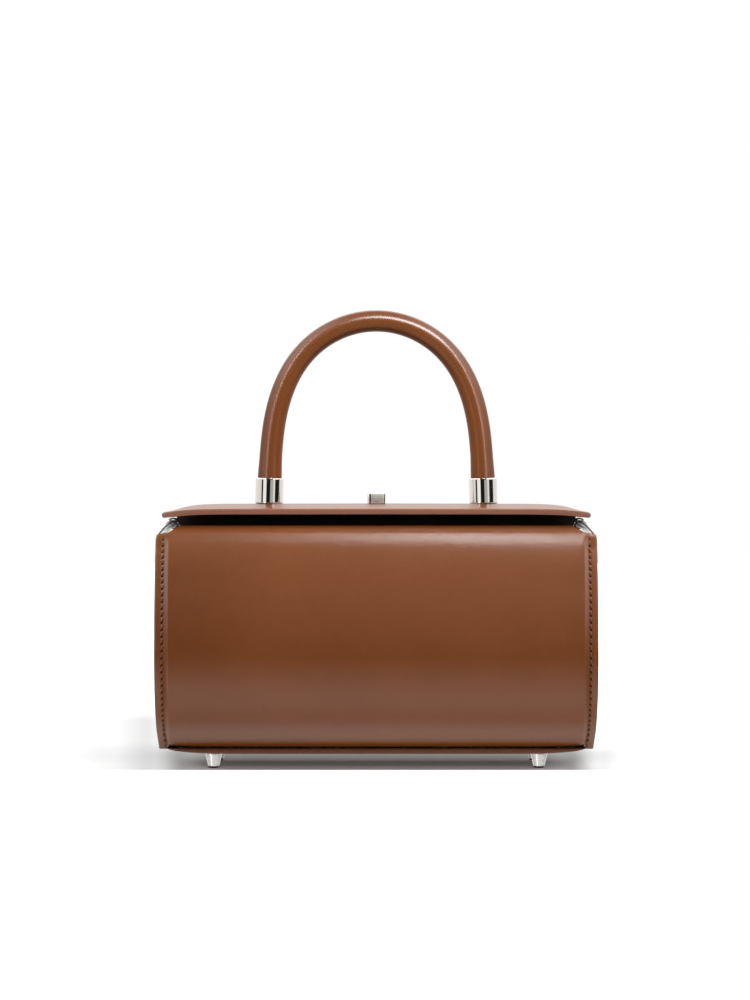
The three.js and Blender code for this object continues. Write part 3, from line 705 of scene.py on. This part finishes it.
def slab(name, hw, hd, corner, top, bottom, edge_r, steps, mats, tone_of=None, dull_ends=None):
    """A sheet with a rounded-corner outline and rounded edges. top and bottom give heights by x and y."""
    near = np.array([0, 0.06, 0.18, 0.36, 0.6, 0.9, 1.25, 1.7, 2.4, 3.4, 4.8, 6.6])
    ys = np.concatenate([near, np.linspace(9, hd, steps[1])])
    ys = np.concatenate([-hd + ys[:-1], [0.0], (hd - ys[:-1])[::-1]])
    xin = np.concatenate([near, np.linspace(9, hw, steps[0])])
    nx = 2 * len(xin) - 1
    beyond = np.clip((np.abs(ys) - (hd - corner)) / corner, 0, 1)
    reach = hw - corner * (1 - np.sqrt(1 - beyond**2))
    X = np.zeros((len(ys), nx))
    for i, w in enumerate(reach):
        half = np.where(xin < 7, w - xin, (hw - xin) * (w - 7) / (hw - 7))
        half[-1] = 0
        X[i] = np.concatenate([-half[:-1], [0.0], half[:-1][::-1]])
    Y = np.broadcast_to(ys[:, None], X.shape)
    # distance in from the outline
    qx, qy = np.abs(X) - (hw - corner), np.abs(Y) - (hd - corner)
    d = np.where((qx > 0) & (qy > 0), corner - np.hypot(np.maximum(qx, 0), np.maximum(qy, 0)), np.minimum(hw - np.abs(X), hd - np.abs(Y)))
    d = np.maximum(d, 0)
    hi, lo = top(X, Y), bottom(X, Y)
    r = np.minimum(edge_r + (0.8 * smooth01((np.abs(X) - hw + 3.5) / 2.5) if dull_ends else 0.0), 0.48 * (hi - lo))
    e = np.clip(d, 0, r)
    drop = r - np.sqrt(np.maximum(r**2 - (r - e) ** 2, 0))
    up, down = np.stack([X, Y, hi - drop], -1), np.stack([X, Y, lo + drop], -1)
    rows, cols = X.shape
    verts = np.concatenate([up.reshape(-1, 3), down.reshape(-1, 3)])
    base = rows * cols
    faces, kinds = [], []
    for i in range(rows - 1):
        for j in range(cols - 1):
            a = i * cols + j
            quad = (a, a + 1, a + cols + 1, a + cols)
            rounded = d[i:i + 2, j:j + 2].max() < edge_r + 0.1
            faces.append(quad)
            kinds.append(2 if rounded else 0)
            faces.append(tuple(base + k for k in quad[::-1]))
            kinds.append(2 if rounded else 1)
    rim = [(0, j) for j in range(cols)] + [(i, cols - 1) for i in range(1, rows)] \
        + [(rows - 1, j) for j in range(cols - 2, -1, -1)] + [(i, 0) for i in range(rows - 2, 0, -1)]
    ids = [i * cols + j for i, j in rim]
    for k in range(len(ids)):
        a, b = ids[k], ids[(k + 1) % len(ids)]
        faces.append((a, b, base + b, base + a))
        kinds.append(2)
    tone = np.full(X.shape, 0.5) if tone_of is None else tone_of(X, Y, d)
    gloss = None
    if dull_ends:
        shine = 0.5 - 0.5 * smooth01((np.abs(X) - hw + dull_ends) / dull_ends)
        gloss = np.concatenate([shine.reshape(-1), shine.reshape(-1)])
    return add_mesh(name, verts, faces, mats, kinds, np.concatenate([tone.reshape(-1), tone.reshape(-1)]), gloss)


def smooth_table(table, column):
    """A table's column as a smooth function of its first column."""
    xs = np.array([row[0] for row in table], float)
    fine = np.linspace(xs[0], 40, 1601)
    raw = np.interp(fine, xs, [row[column] for row in table])
    soft = blurred(raw[:, None], 60)[:, 0]
    return lambda at: np.where(at < 40, np.interp(at, fine, soft), np.interp(at, xs, [row[column] for row in table]))


lid_droop, lid_crown = smooth_table(LID_ENDS, 1), smooth_table(LID_ENDS, 2)


def lid_top(x, y):
    inset = LID["hw"] - np.abs(x)
    return LID["edge"] - lid_droop(inset) + lid_crown(inset) * np.maximum(0, 1 - (np.abs(y) / LID["hd"]) ** 2)


def edge_tone(x, y, d):
    return 0.5 - 0.05 * np.exp(-d / 0.5) + 0.03 * np.exp(-0.5 * ((d - 1.1) / 0.5) ** 2)


def lid_tone(x, y, d):
    """Even on the front and back edges, dark along the two ends."""
    return 0.5 - 0.12 * smooth01((np.abs(x) - LID["hw"] + 5.0) / 4.0) - 0.24 * smooth01((np.abs(x) - LID["hw"] + 1.2) / 0.9) + 0.03 * np.exp(-0.5 * ((d - 1.1) / 0.5) ** 2)


lid = slab("lid_leather", LID["hw"], LID["hd"], LID["corner"], lid_top, lambda x, y: lid_top(x, y) - LID["thick"],
           0.6, (46, 22), [TAN_LID, LINING, TAN_RIM], lid_tone, 3.0)
hole_v, hole_f = lathe([(LOCK["hole"], 110.0), (LOCK["hole"], 140.0)], 48)
cutter = add_mesh("lid_cutter", hole_v, hole_f, [LINING])
cut = lid.modifiers.new("hole", "BOOLEAN")
cut.operation = "DIFFERENCE"
cut.solver = "EXACT"
cut.object = cutter
bpy.context.view_layer.update()
applied(lid)
cutter_mesh = cutter.data
bpy.data.objects.remove(cutter)
bpy.data.meshes.remove(cutter_mesh)
finish_piece(lid, "leather_tan", "lid")

base = slab("base_leather", BASE["hw"], BASE["hd"], BASE["corner"],
            lambda x, y: np.full_like(x, BASE["top"]),
            lambda x, y: BASE["bottom"] + BASE["bow"] * np.power(np.minimum(np.abs(x) / 102, 1.02), 10.0),
            1.1, (40, 18), [TAN_DARK, TAN_DARK, TAN_DARK], edge_tone)
finish_piece(base, "leather_dark", "base_panel")


def hinge_strip():
    """Leather strip between the back wall and the lid, bowed a little outwards, its upper edge close under the lid."""
    t = np.linspace(-1, 1, 13)
    bow = 0.5 * np.cos(np.pi * t / 2)
    half = HINGE["thick"] / 2 * np.sqrt(np.clip(1 - t**8, 0.02, 1))
    xs = np.concatenate([-HINGE["hw"] + np.array([0, 0.1, 0.35, 0.8]), np.linspace(-98, 98, 57), HINGE["hw"] - np.array([0.8, 0.35, 0.1, 0])])
    taper = np.concatenate([[0.25, 0.6, 0.9, 1.0], np.ones(57), [1.0, 0.9, 0.6, 0.25]])
    rings = []
    for x, k in zip(xs, taper):
        high = float(lid_top(x, HINGE["y"] + HINGE["thick"] / 2)) - LID["thick"] + 0.5
        zs = HINGE["low"] + (high - HINGE["low"]) * (t + 1) / 2
        outside = np.stack([np.full(13, x), HINGE["y"] + bow + half * k, zs], 1)
        inside = np.stack([np.full(13, x), HINGE["y"] + bow - half * k, zs], 1)
        rings.append(np.concatenate([outside, inside[::-1]]))
    verts, faces = loft(rings)
    # the side that faces into the bag is lined
    kinds = [1 if np.mean(verts[list(f), 1]) < HINGE["y"] + 0.25 else 0 for f in faces]
    return add_mesh("hinge_leather", verts, faces, [TAN_DARK, LINING], kinds)


finish_piece(hinge_strip(), "leather_dark", "lid_hinge")

# ------------------------------------------------------------------ handle


def handle():
    w = np.linspace(0, math.pi, 900)
    arch = np.stack([HANDLE["half"] * np.cos(w), np.zeros(900), HANDLE["spring"] + HANDLE["rise"] * np.sin(w)], 1)
    foot = np.array([HANDLE["half"] + HANDLE["lean"], 0, HANDLE["end"]])
    leg = np.linspace(foot, arch[0], 120)[:-1]
    other = (leg * np.array([-1, 1, 1]))[::-1]
    path = np.concatenate([leg, arch, other])
    path[:, 0] *= lerp_table(HANDLE_SPREAD, path[:, 2])
    path, s = resample(path, step=0.25)
    path = blurred(path, 18.0)
    path, s = resample(path, count=420)
    zs = np.array([row[0] for row in HANDLE_RADII])
    fine = np.linspace(zs[0], zs[-1], 900)
    radius = blurred(np.interp(fine, zs, [row[1] for row in HANDLE_RADII])[:, None], 22)[:, 0]
    r = np.interp(path[:, 2], fine, radius)
    ends = np.minimum(s, s[-1] - s)
    r = r - 0.6 * np.exp(-ends / 0.35)
    n = 128
    rings = np.array(tube(path, r, (0, 1, 0), n))
    # the seam where the rolled leather closes, along the inner side of the arch
    angle = 2 * np.pi * np.arange(n) / n
    ahead = np.gradient(path, axis=0)
    ahead /= np.linalg.norm(ahead, axis=1)[:, None]
    out = np.cross(np.array([0, 1.0, 0]), ahead)
    centre = np.array([0, 0, 150.0])
    inward = np.sign(np.sum((centre - path) * out, axis=1))
    offset = np.where(inward[:, None] > 0, np.angle(np.exp(1j * angle))[None, :], np.angle(np.exp(1j * (angle - np.pi)))[None, :])
    groove = np.exp(-0.5 * (offset / 0.07) ** 2)
    rings = rings - (rings - path[:, None, :]) * (0.035 * groove)[..., None]
    verts, faces = loft(list(rings))
    # a pale line along the front and back of each leg is a painted highlight; the inner side of the arch and the outer
    # edge are darker, painted shade; the seam and the ends are a little darker; the inner side is duller
    z = path[:, 2]
    outside = -np.cos(angle)[None, :] * inward[:, None]
    line = np.exp(-0.5 * ((outside - 0.30) / 0.06) ** 2) * (smooth01((z - 147) / 14) * (1 - smooth01((z - 192) / 15)))[:, None]
    under = smooth01((-outside - 0.45) / 0.5) * smooth01((z - 188) / 20)[:, None]
    far_side = smooth01((outside - 0.5) / 0.35)
    tone = 0.5 + 0.10 * line - 0.16 * groove - 0.05 * np.exp(-ends / 9.5)[:, None] - 0.24 * under - 0.10 * far_side
    dull = smooth01((0.25 - outside) / 0.35)
    crown = np.exp(-0.5 * ((outside - 0.38) / 0.22) ** 2) * smooth01((z - 180) / 24)[:, None]
    gloss = 0.5 - 0.34 * dull - 0.30 * far_side + 0.25 * crown
    pad = [0.5, 0.5]
    return add_mesh("handle_leather", verts, faces, [TAN_HANDLE], None, np.concatenate([tone.reshape(-1), pad]), np.concatenate([gloss.reshape(-1), pad]))


handle_piece = finish_piece(handle(), "leather_tan", "handle")

# ------------------------------------------------------------------ metal


def ferrule(name, sign):
    r, bore, low, high, floor = (FERRULE[k] for k in ("r", "bore", "low", "high", "floor"))
    rows = [(0.001, low), (r - 0.45, low), (r - 0.18, low + 0.06), (r - 0.04, low + 0.2), (r, low + 0.45)]
    rows += [(r, z) for z in np.linspace(low + 1.0, high - 0.9, 8)]
    rows += [(r, high - 0.4), (r - 0.04, high - 0.18), (r - 0.14, high - 0.05), (r - 0.27, high), (bore + 0.05, high - 0.04), (bore, high - 0.2)]
    rows += [(bore, z) for z in np.linspace(high - 0.8, floor, 5)] + [(0.001, floor)]
    v, f = lathe(rows, 96)
    mid = (low + high) / 2
    lean = -sign * FERRULE_LEAN
    x, z = v[:, 0], v[:, 2] - mid
    v = np.stack([sign * FERRULE_X + x * math.cos(lean) + z * math.sin(lean), v[:, 1], mid - x * math.sin(lean) + z * math.cos(lean)], 1)
    return add_mesh(name, v, f, [CHROME])


finish_piece(ferrule("ferrule_polished_right", 1), "polished_metal", "ferrule_right")
finish_piece(ferrule("ferrule_polished_left", -1), "polished_metal", "ferrule_left")


def foot(name, sx, sy):
    top, bottom = FOOT["top"], FOOT["bottom"]
    rows = [(0.001, 0.0), (bottom - 0.55, 0.0), (bottom - 0.25, 0.06), (bottom - 0.06, 0.22), (bottom + 0.02, 0.5)]
    rows += [(bottom + (top - bottom) * t, 0.5 + 6.1 * t) for t in np.linspace(0.08, 1.0, 12)]
    rows += [(top + 0.04, 6.75), (top + 0.05, 7.0), (top + 0.02, 7.35), (top - 0.12, 7.58), (top - 0.4, 7.66), (0.001, 7.66)]
    v, f = lathe(rows, 72)
    # the faces below 0.8 mm are dark
    kinds = [1 if np.mean(v[list(face), 2]) < 0.8 else 0 for face in f]
    return add_mesh(name, v + np.array([sx * FOOT["x"], sy * FOOT["y"], 0]), f, [SATIN if sy < 0 else SATIN_SHADE, EDGE], kinds)


for label, sx, sy in (("front_left", -1, -1), ("front_right", 1, -1), ("back_left", -1, 1), ("back_right", 1, 1)):
    finish_piece(foot("foot_turned_" + label, sx, sy), "satin_metal", "foot_" + label)


def flat_ring(points, z):
    return np.concatenate([points, np.full((len(points), 1), z)], 1)


def round_ring(points, r, z):
    w = np.arctan2(points[:, 1], points[:, 0])
    return np.stack([r * np.cos(w), r * np.sin(w), np.full(len(points), z)], 1)


def bevel_rows(hx, hy, r, low, high, bevel, n):
    """Rings up the side of a rounded bar, with its lower and upper edges rounded."""
    rings = []
    for a in (90, 60, 30, 0):
        k = bevel * (1 - math.cos(math.radians(a)))
        rings.append(flat_ring(rounded_rect(hx - k, hy - k, max(r - k, 0.15), n), low + bevel * (1 - math.sin(math.radians(a)))))
    for a in (0, 30, 60, 90):
        k = bevel * (1 - math.cos(math.radians(a)))
        rings.append(flat_ring(rounded_rect(hx - k, hy - k, max(r - k, 0.15), n), high - bevel * (1 - math.sin(math.radians(a)))))
    # the lower edge is listed from the underside outwards
    return rings


def bar_kinds(v, f, low, high):
    """The bar's sides are satin, near-white at one end of each as a painted reflection, with a dark line by both ends
    as painted shade in place of a groove; the rest is polished.
    """
    mid = np.array([v[list(face)].mean(0) for face in f])
    place = KNOB["w"] / 2 - mid[:, 0] * np.sign(mid[:, 1])
    side = (np.abs(mid[:, 1]) > 1.0) & (mid[:, 2] > low) & (mid[:, 2] < high)
    dark = side & (((place > 1.0) & (place < 1.7)) | (place > KNOB["w"] - 0.55))
    return np.where(dark, 2, np.where(side & (place >= 1.7), 0, np.where(side, 3, 1)))


def lock_base():
    n = 192
    edge = rounded_rect(LOCK["w"] / 2, LOCK["d"] / 2, 1.2, n)
    small = rounded_rect(LOCK["w"] / 2 - 0.18, LOCK["d"] / 2 - 0.18, 1.05, n)
    rings = [round_ring(edge, LOCK["hole"], LOCK["low"]), flat_ring(small, LOCK["low"]), flat_ring(edge, LOCK["low"] + 0.12),
             flat_ring(edge, LOCK["high"] - 0.1), flat_ring(rounded_rect(LOCK["w"] / 2 - 0.03, LOCK["d"] / 2 - 0.03, 1.17, n), LOCK["high"] - 0.03),
             flat_ring(small, LOCK["high"]), round_ring(edge, LOCK["hole"] + 0.12, LOCK["high"]), round_ring(edge, LOCK["hole"], LOCK["high"] - 0.12)]
    v, f = loft(rings, closed=True)
    return add_mesh("lock_plate", v, f, [BRUSHED, CHROME, EDGE, WIRE], bar_kinds(v, f, LOCK["low"] + 0.05, LOCK["high"] - 0.01))


finish_piece(lock_base(), "polished_metal", "lock_base")


def turn_knob():
    n = 192
    corner = 1.5
    bar = bevel_rows(KNOB["w"] / 2, KNOB["d"] / 2, corner, KNOB["low"], KNOB["high"], 0.15, n)
    cam = bevel_rows(CAM["w"] / 2, CAM["d"] / 2, 1.5, CAM["low"], CAM["high"], 0.25, n)
    edge = rounded_rect(KNOB["w"] / 2, KNOB["d"] / 2, corner, n)
    cam_edge = rounded_rect(CAM["w"] / 2, CAM["d"] / 2, 1.5, n)
    rings = cam + [round_ring(cam_edge, KNOB["shank"], CAM["high"]), round_ring(edge, KNOB["shank"], KNOB["low"])] + bar
    v, f = loft(rings)
    kinds = bar_kinds(v, f, KNOB["low"] + 0.01, KNOB["high"] - 0.02)
    return add_mesh("knob_bar", v, f, [BRUSHED, CHROME, EDGE, WIRE], kinds)


finish_piece(turn_knob(), "polished_metal", "turn_knob", body="knob")


def strap_ring(name, sign):
    top, end = np.array(RING["top"]), np.array(RING["end"])
    down = end - top
    length = np.linalg.norm(down)
    down = down / length
    flat = rounded_rect(RING["half"], length / 2, RING["corner"], 160)
    # the ring is bowed a little, to follow the rounded shoulder
    t = flat[:, 1] / (length / 2)
    bow = 1.1 * (1 - t**2) + 0.25 * (t + 1)
    path = np.stack([top[0] + down[0] * (flat[:, 1] + length / 2) - down[1] * bow, flat[:, 0],
                     top[1] + down[1] * (flat[:, 1] + length / 2) + down[0] * bow], 1)
    across = np.cross(np.array([0, 1.0, 0]), np.array([down[0], 0, down[1]]))
    rings = tube(path, np.full(len(path), RING["wire"]), across / np.linalg.norm(across), 40, closed=True)
    v, f = loft(rings, closed=True)
    v[:, 0] *= sign
    # the wire takes the near-white wire finish, a painted reflection, and a thin dark line runs round its outer side,
    # painted shade
    outer = int(np.argmax(np.abs(v[:40, 1]))) if abs(path[0, 1]) > 1 else int(np.argmax(np.abs(v.reshape(-1, 40, 3)[np.argmax(np.abs(path[:, 1])), :, 1])))
    turn = (np.array(f) % 40 - outer + 20) % 40 - 20
    line = (np.abs(turn).max(1) <= 1).astype(int)
    return add_mesh(name, v, f, [WIRE, EDGE], line)


finish_piece(strap_ring("ring_wire_right", 1), "polished_metal", "strap_ring_right")
finish_piece(strap_ring("ring_wire_left", -1), "polished_metal", "strap_ring_left")


def strap_lug(name, sign):
    eye, bore, half = LUG["eye"], LUG["bore"], LUG["length"] / 2
    rows = [(bore, -half + 0.25), (bore + 0.08, -half + 0.06), (bore + 0.22, -half), (eye - 0.3, -half), (eye - 0.09, -half + 0.09), (eye, -half + 0.3)]
    rows = rows + [(r, -y) for r, y in rows[::-1]]
    v, f = lathe(rows, 64, closed=True)
    v = np.stack([RING["top"][0] + v[:, 0], v[:, 2], RING["top"][1] + v[:, 1]], 1)
    # the tab runs from the eye down behind the gusset's shoulder
    low, high = np.array([104.7, 109.6]), np.array([100.2, 114.8])
    run = (low - high) / np.linalg.norm(low - high)
    inward = np.array([run[1], -run[0]])
    start = high + inward * 2.0
    start = start - run * ((high[1] - start[1]) / -run[1])
    thick = LUG["tab"] - 0.35
    line = [start + inward * (0.35 + thick / 2) + run * 6.0, start + inward * (0.35 + thick / 2), start + inward * 0.5 - run * 1.2,
            np.array(RING["top"]) + np.array([-1.55, -1.75])]
    line = blurred(resample(np.array(line), count=60)[0], 3.0)
    ahead = np.gradient(line, axis=0)
    ahead /= np.linalg.norm(ahead, axis=1)[:, None]
    side = np.stack([ahead[:, 1], -ahead[:, 0]], 1)
    section = rounded_rect(half - 0.02, thick / 2, 0.3, 40)
    rings = [np.stack([p[0] + q[0] * section[:, 1], section[:, 0], p[1] + q[1] * section[:, 1]], 1) for p, q in zip(line, side)]
    # a thin plate in the near-white wire finish lies on the shoulder, under the ring, and shows white there: a painted
    # reflection
    a, b = np.array([100.4, 114.45]), np.array([103.3, 111.3])
    reach = np.linalg.norm(b - a) / 2
    slope = (b - a) / (2 * reach)
    up = np.array([-slope[1], slope[0]])
    plate = []
    for lift, shrink in ((0.08, 0.1), (0.12, 0.0), (0.27, 0.0), (0.33, 0.08)):
        flat = rounded_rect(16.5 - shrink, reach - shrink, 1.2, 120)
        at = (a + b) / 2 + flat[:, 1:] * slope + lift * up
        plate.append(np.stack([at[:, 0], flat[:, 0], at[:, 1]], 1))
    parts = [(v, f), loft(rings), loft(plate)]
    kinds = [int(k == 2) for k, part in enumerate(parts) for face in part[1]]
    v, f = joined(parts)
    v[:, 0] *= sign
    return add_mesh(name, v, f, [CHROME, WIRE], kinds)


finish_piece(strap_lug("lug_plate_right", 1), "polished_metal", "strap_lug_right")
finish_piece(strap_lug("lug_plate_left", -1), "polished_metal", "strap_lug_left")

# ------------------------------------------------------------------ stage and light

NEAR_FRONT, NEAR_BACK, NEAR_SIDE, FAR = -0.029, 0.6, 0.125, 4.0


def floor(name, boxes, mat):
    verts, faces = [], []
    for x0, y0, x1, y1 in boxes:
        k = len(verts)
        verts += [(x0, y0, 0), (x1, y0, 0), (x1, y1, 0), (x0, y1, 0)]
        faces.append((k, k + 1, k + 2, k + 3))
    mesh = bpy.data.meshes.new(name)
    mesh.from_pydata(verts, [], faces)
    mesh.materials.append(mat)
    obj = bpy.data.objects.new(name, mesh)
    scene.collection.objects.link(obj)
    return obj


floor_mat, fn, fb = material("floor_white")
fb.inputs["Base Color"].default_value = (0.45, 0.447, 0.443, 1)
fb.inputs["Roughness"].default_value = 0.9
fb.inputs["Specular IOR Level"].default_value = 0.0
fb.inputs["Emission Color"].default_value = (1, 1, 1, 1)
# the floor glows by position, dim close to the object and brighter further off to the sides and back, and its albedo is
# cut off to the sides and just behind the object: a painted shadow round it
spot = fn.new("SeparateXYZ")
fn.join(fn.new("TexCoord").outputs["Object"], spot.inputs[0])
across = fn.math("DIVIDE", spot.outputs["X"], fn.math("ADD", spot.outputs["Y"], 1.25))
left = fn.math("MULTIPLY", across, -1.0)


def steps(at, *spans):
    total = None
    for start, end, gain in spans:
        part = fn.span(at, start, end, 0.0, gain)
        total = part if total is None else fn.math("ADD", total, part)
    return total


beside = fn.math("ADD", steps(left, (0.060, 0.078, 0.11), (0.0762, 0.0885, 0.46), (0.088, 0.105, 0.21), (0.104, 0.130, 0.15)),
                 steps(across, (0.060, 0.078, 0.09), (0.0762, 0.0888, 0.63), (0.088, 0.100, 0.20)))
behind = fn.span(spot.outputs["Y"], 0.23, 0.42, 0.0, 0.7)
behind = fn.math("ADD", behind, fn.math("MULTIPLY", fn.span(spot.outputs["Y"], 0.05, 0.14, 0.0, 0.6), fn.span(across, 0.055, 0.075, 0.0, 1.0)))
glow = fn.math("ADD", fn.math("ADD", beside, behind), 0.035)
# less albedo off to the sides and just behind the object lets the glow set the floor's brightness there: part of the
# painted shadow
painted_shadow_albedo = fn.span(fn.math("ABSOLUTE", across, 0.0), 0.070, 0.092, 1.0, 0.25)
under = fn.math("MULTIPLY", fn.span(spot.outputs["Y"], -0.01, 0.035, 0.0, 0.21), fn.span(spot.outputs["Y"], 0.06, 0.12, 1.0, 0.0))
albedo = fn.math("MULTIPLY", painted_shadow_albedo, fn.math("SUBTRACT", 0.45, under))
grey = fn.new("CombineXYZ")
for axis, part in zip("XYZ", (1.0, 0.993, 0.984)):
    fn.join(fn.math("MULTIPLY", albedo, part), grey.inputs[axis])
fn.join(grey.outputs[0], fb.inputs["Base Color"])
fn.join(glow, fb.inputs["Emission Strength"])
front_mat, fn2, fb2 = material("floor_front")
fb2.inputs["Base Color"].default_value = (0.45, 0.447, 0.443, 1)
fb2.inputs["Roughness"].default_value = 0.9
fb2.inputs["Specular IOR Level"].default_value = 0.0
fb2.inputs["Emission Color"].default_value = (1, 1, 1, 1)
fb2.inputs["Emission Strength"].default_value = 0.95
near_floor = floor("floor_near", [(-NEAR_SIDE, NEAR_FRONT, NEAR_SIDE, NEAR_BACK)], floor_mat)
near_floor.visible_glossy = False
far_floor = floor("floor_far", [(-FAR, NEAR_BACK, FAR, FAR), (-FAR, NEAR_FRONT, -NEAR_SIDE, NEAR_BACK), (NEAR_SIDE, NEAR_FRONT, FAR, NEAR_BACK)], floor_mat)
far_floor.visible_glossy = False
front_floor = floor("floor_front", [(-FAR, -FAR, FAR, NEAR_FRONT)], front_mat)
front_floor.visible_glossy = False
front_floor.visible_diffuse = False
front_floor.visible_shadow = False


def area(name, at, aim, size, power, colour=(1, 1, 1)):
    data = bpy.data.lights.new(name, "AREA")
    data.shape = "RECTANGLE"
    data.size, data.size_y = size
    data.energy = power
    data.color = colour
    obj = bpy.data.objects.new(name, data)
    obj.location = at
    obj.rotation_euler = (Vector(aim) - Vector(at)).to_track_quat("-Z", "Y").to_euler()
    scene.collection.objects.link(obj)
    return obj


# a slanted strip overhead gives the highlight along the top of the front wall; a broad light lifts the leather without one
key = area("key_strip", (0.105, -0.105, 1.15), (0.105, -0.105, 0.1), (0.27, 0.065), 1.9)
key.rotation_euler = (0, 0, math.radians(-45))
# the handle has lights of its own, below
not_handle = bpy.data.collections.new("not_handle")
not_handle.objects.link(handle_piece)
not_handle.collection_objects[0].light_linking.link_state = "EXCLUDE"
key.light_linking.receiver_collection = not_handle
for name, at, size, power in (("key_soft", (0.14, -0.06, 1.05), 0.3, 5.1), ("fill_front", (0.1, -1.1, 0.45), 0.5, 3.3), ("fill_low", (0.0, -0.12, -0.08), 0.03, 0.036)):
    lift = area(name, at, (0.03, -0.03, 0.1) if at[2] > 0 else (0.0, -0.04, 0.03), (max(size, 0.3), size), power)
    lift.visible_glossy = False
    lift.visible_camera = False
    if name != "fill_low":
        lift.light_linking.receiver_collection = not_handle
only_front = bpy.data.collections.new("front_only")
only_front.objects.link(front_piece)
lift.light_linking.receiver_collection = only_front
# three small lights for the handle alone draw the line of light along its front
only_handle = bpy.data.collections.new("handle_only")
only_handle.objects.link(handle_piece)
for name, at, aim, size, power in (("glint_top", (0.16, -0.46, 0.62), (0.0, 0.0, 0.217), (0.46, 0.20), 4.7),
                                   ("glint_left", (-0.37, -0.47, 0.33), (-0.047, 0.0, 0.185), (0.045, 0.4), 0.46),
                                   ("glint_right", (0.37, -0.47, 0.33), (0.047, 0.0, 0.185), (0.045, 0.4), 0.6)):
    glint = area(name, at, aim, size, power)
    glint.visible_diffuse = name == "glint_top"
    glint.light_linking.receiver_collection = only_handle

# The studio round the object: white behind and at the sides, dark in front, with a few cards.
world = bpy.data.worlds.new("studio")
scene.world = world
world.use_nodes = True
wn = Nodes(world.node_tree)
out = wn.new("OutputWorld")
studio = wn.new("Background")
white = wn.new("Background")
white.inputs["Color"].default_value = (1, 1, 1, 1)
white.inputs["Strength"].default_value = 1.0
path = wn.new("LightPath")
choose = wn.new("MixShader")
wn.join(path.outputs["Is Camera Ray"], choose.inputs[0])
wn.join(studio.outputs[0], choose.inputs[1])
wn.join(white.outputs[0], choose.inputs[2])
wn.join(choose.outputs[0], out.inputs[0])
way = wn.new("SeparateXYZ")
wn.join(wn.new("TexCoord").outputs["Generated"], way.inputs[0])
azimuth = wn.math("ARCTAN2", way.outputs["X"], wn.math("MULTIPLY", way.outputs["Y"], -1.0))
round_about = wn.span(azimuth, -math.pi, math.pi, 0.0, 1.0, smooth=False)
height = way.outputs["Z"]
ramp = wn.new("ValToRGB")
ramp.color_ramp.interpolation = "LINEAR"
STOPS = [  # at eye level: degrees from the front, and the brightness there
    (-180, 1.0), (-75, 0.8), (-67, 0.82), (-64.5, 0.01), (-52, 0.01), (-49.5, 1.0), (-25, 1.0), (-21.5, 0.01), (7, 0.01),
    (9.5, 0.42), (33, 0.5), (37, 0.9), (47, 0.9), (50, 0.01), (86, 0.01), (90, 0.8), (180, 1.0),
]
while len(ramp.color_ramp.elements) < len(STOPS):
    ramp.color_ramp.elements.new(0.5)
for element, (degrees, level) in zip(ramp.color_ramp.elements, STOPS):
    element.position = (degrees + 180) / 360
    element.color = (level, level * 0.97, level * 0.94, 1)
wn.join(round_about, ramp.inputs[0])
# higher up: white walls from the sides round to the back, brighter towards the top, with a strip light at the front end of
# each, and a pale ceiling; below, a white ground that darkens towards the front
DEG = math.pi / 180
turned = wn.math("ABSOLUTE", azimuth)
wall = wn.math("MULTIPLY", wn.span(turned, 30 * DEG, 34 * DEG, 0.055, 1.0),
               wn.math("ADD", wn.math("MULTIPLY", wn.span(height, 0.12, 0.6, 0.0, 1.4), wn.span(turned, 45 * DEG, 70 * DEG, 0.0, 1.0)), 0.9))
strip = wn.math("MULTIPLY", wn.math("MULTIPLY", wn.span(turned, 30 * DEG, 33 * DEG, 0.0, 1.0), wn.span(turned, 39 * DEG, 43 * DEG, 1.0, 0.0)),
                wn.math("MULTIPLY", wn.span(height, 0.12, 0.25, 0.0, 1.0), wn.span(height, 0.72, 0.85, 3.0, 0.0)))
card = wn.math("MULTIPLY", wn.math("MULTIPLY", wn.span(azimuth, -8 * DEG, 8 * DEG, 0.0, 0.75, smooth=False), wn.span(azimuth, 12 * DEG, 20 * DEG, 1.0, 0.0)),
               wn.span(height, 0.42, 0.75, 0.0, 1.0))
high_air = wn.math("ADD", wn.math("ADD", wall, strip), card)
high_air = wn.mix(wn.span(height, 0.86, 0.97, 0.0, 1.0), high_air, (0.4, 0.4, 0.4))
ground = wn.math("MULTIPLY", wn.span(height, -0.62, -0.05, 1.0, 0.02, smooth=False), wn.span(height, -0.99, -0.86, 0.6, 1.0))
ground = wn.math("MAXIMUM", ground, wn.math("ADD", wn.span(turned, 40 * DEG, 60 * DEG, 0.0, 0.45), wn.span(turned, 110 * DEG, 140 * DEG, 0.0, 0.55)))
streak = wn.math("MULTIPLY", wn.span(azimuth, -46 * DEG, -39 * DEG, 0.0, 2.4), wn.span(azimuth, -33 * DEG, -26 * DEG, 1.0, 0.0))
ground = wn.math("ADD", ground, wn.math("MULTIPLY", streak, wn.span(height, -0.75, -0.5, 0.0, 1.0)))
colour = wn.mix(wn.span(height, 0.05, 0.11, 0.0, 1.0), ramp.outputs[0], high_air)
colour = wn.mix(wn.span(height, -0.11, -0.05, 1.0, 0.0), colour, ground)
wn.join(colour, studio.inputs["Color"])
studio.inputs["Strength"].default_value = 1.0

scene.view_settings.view_transform = "Standard"
scene.view_settings.look = "None"
scene.view_settings.exposure = 0.0
scene.view_settings.gamma = 1.0
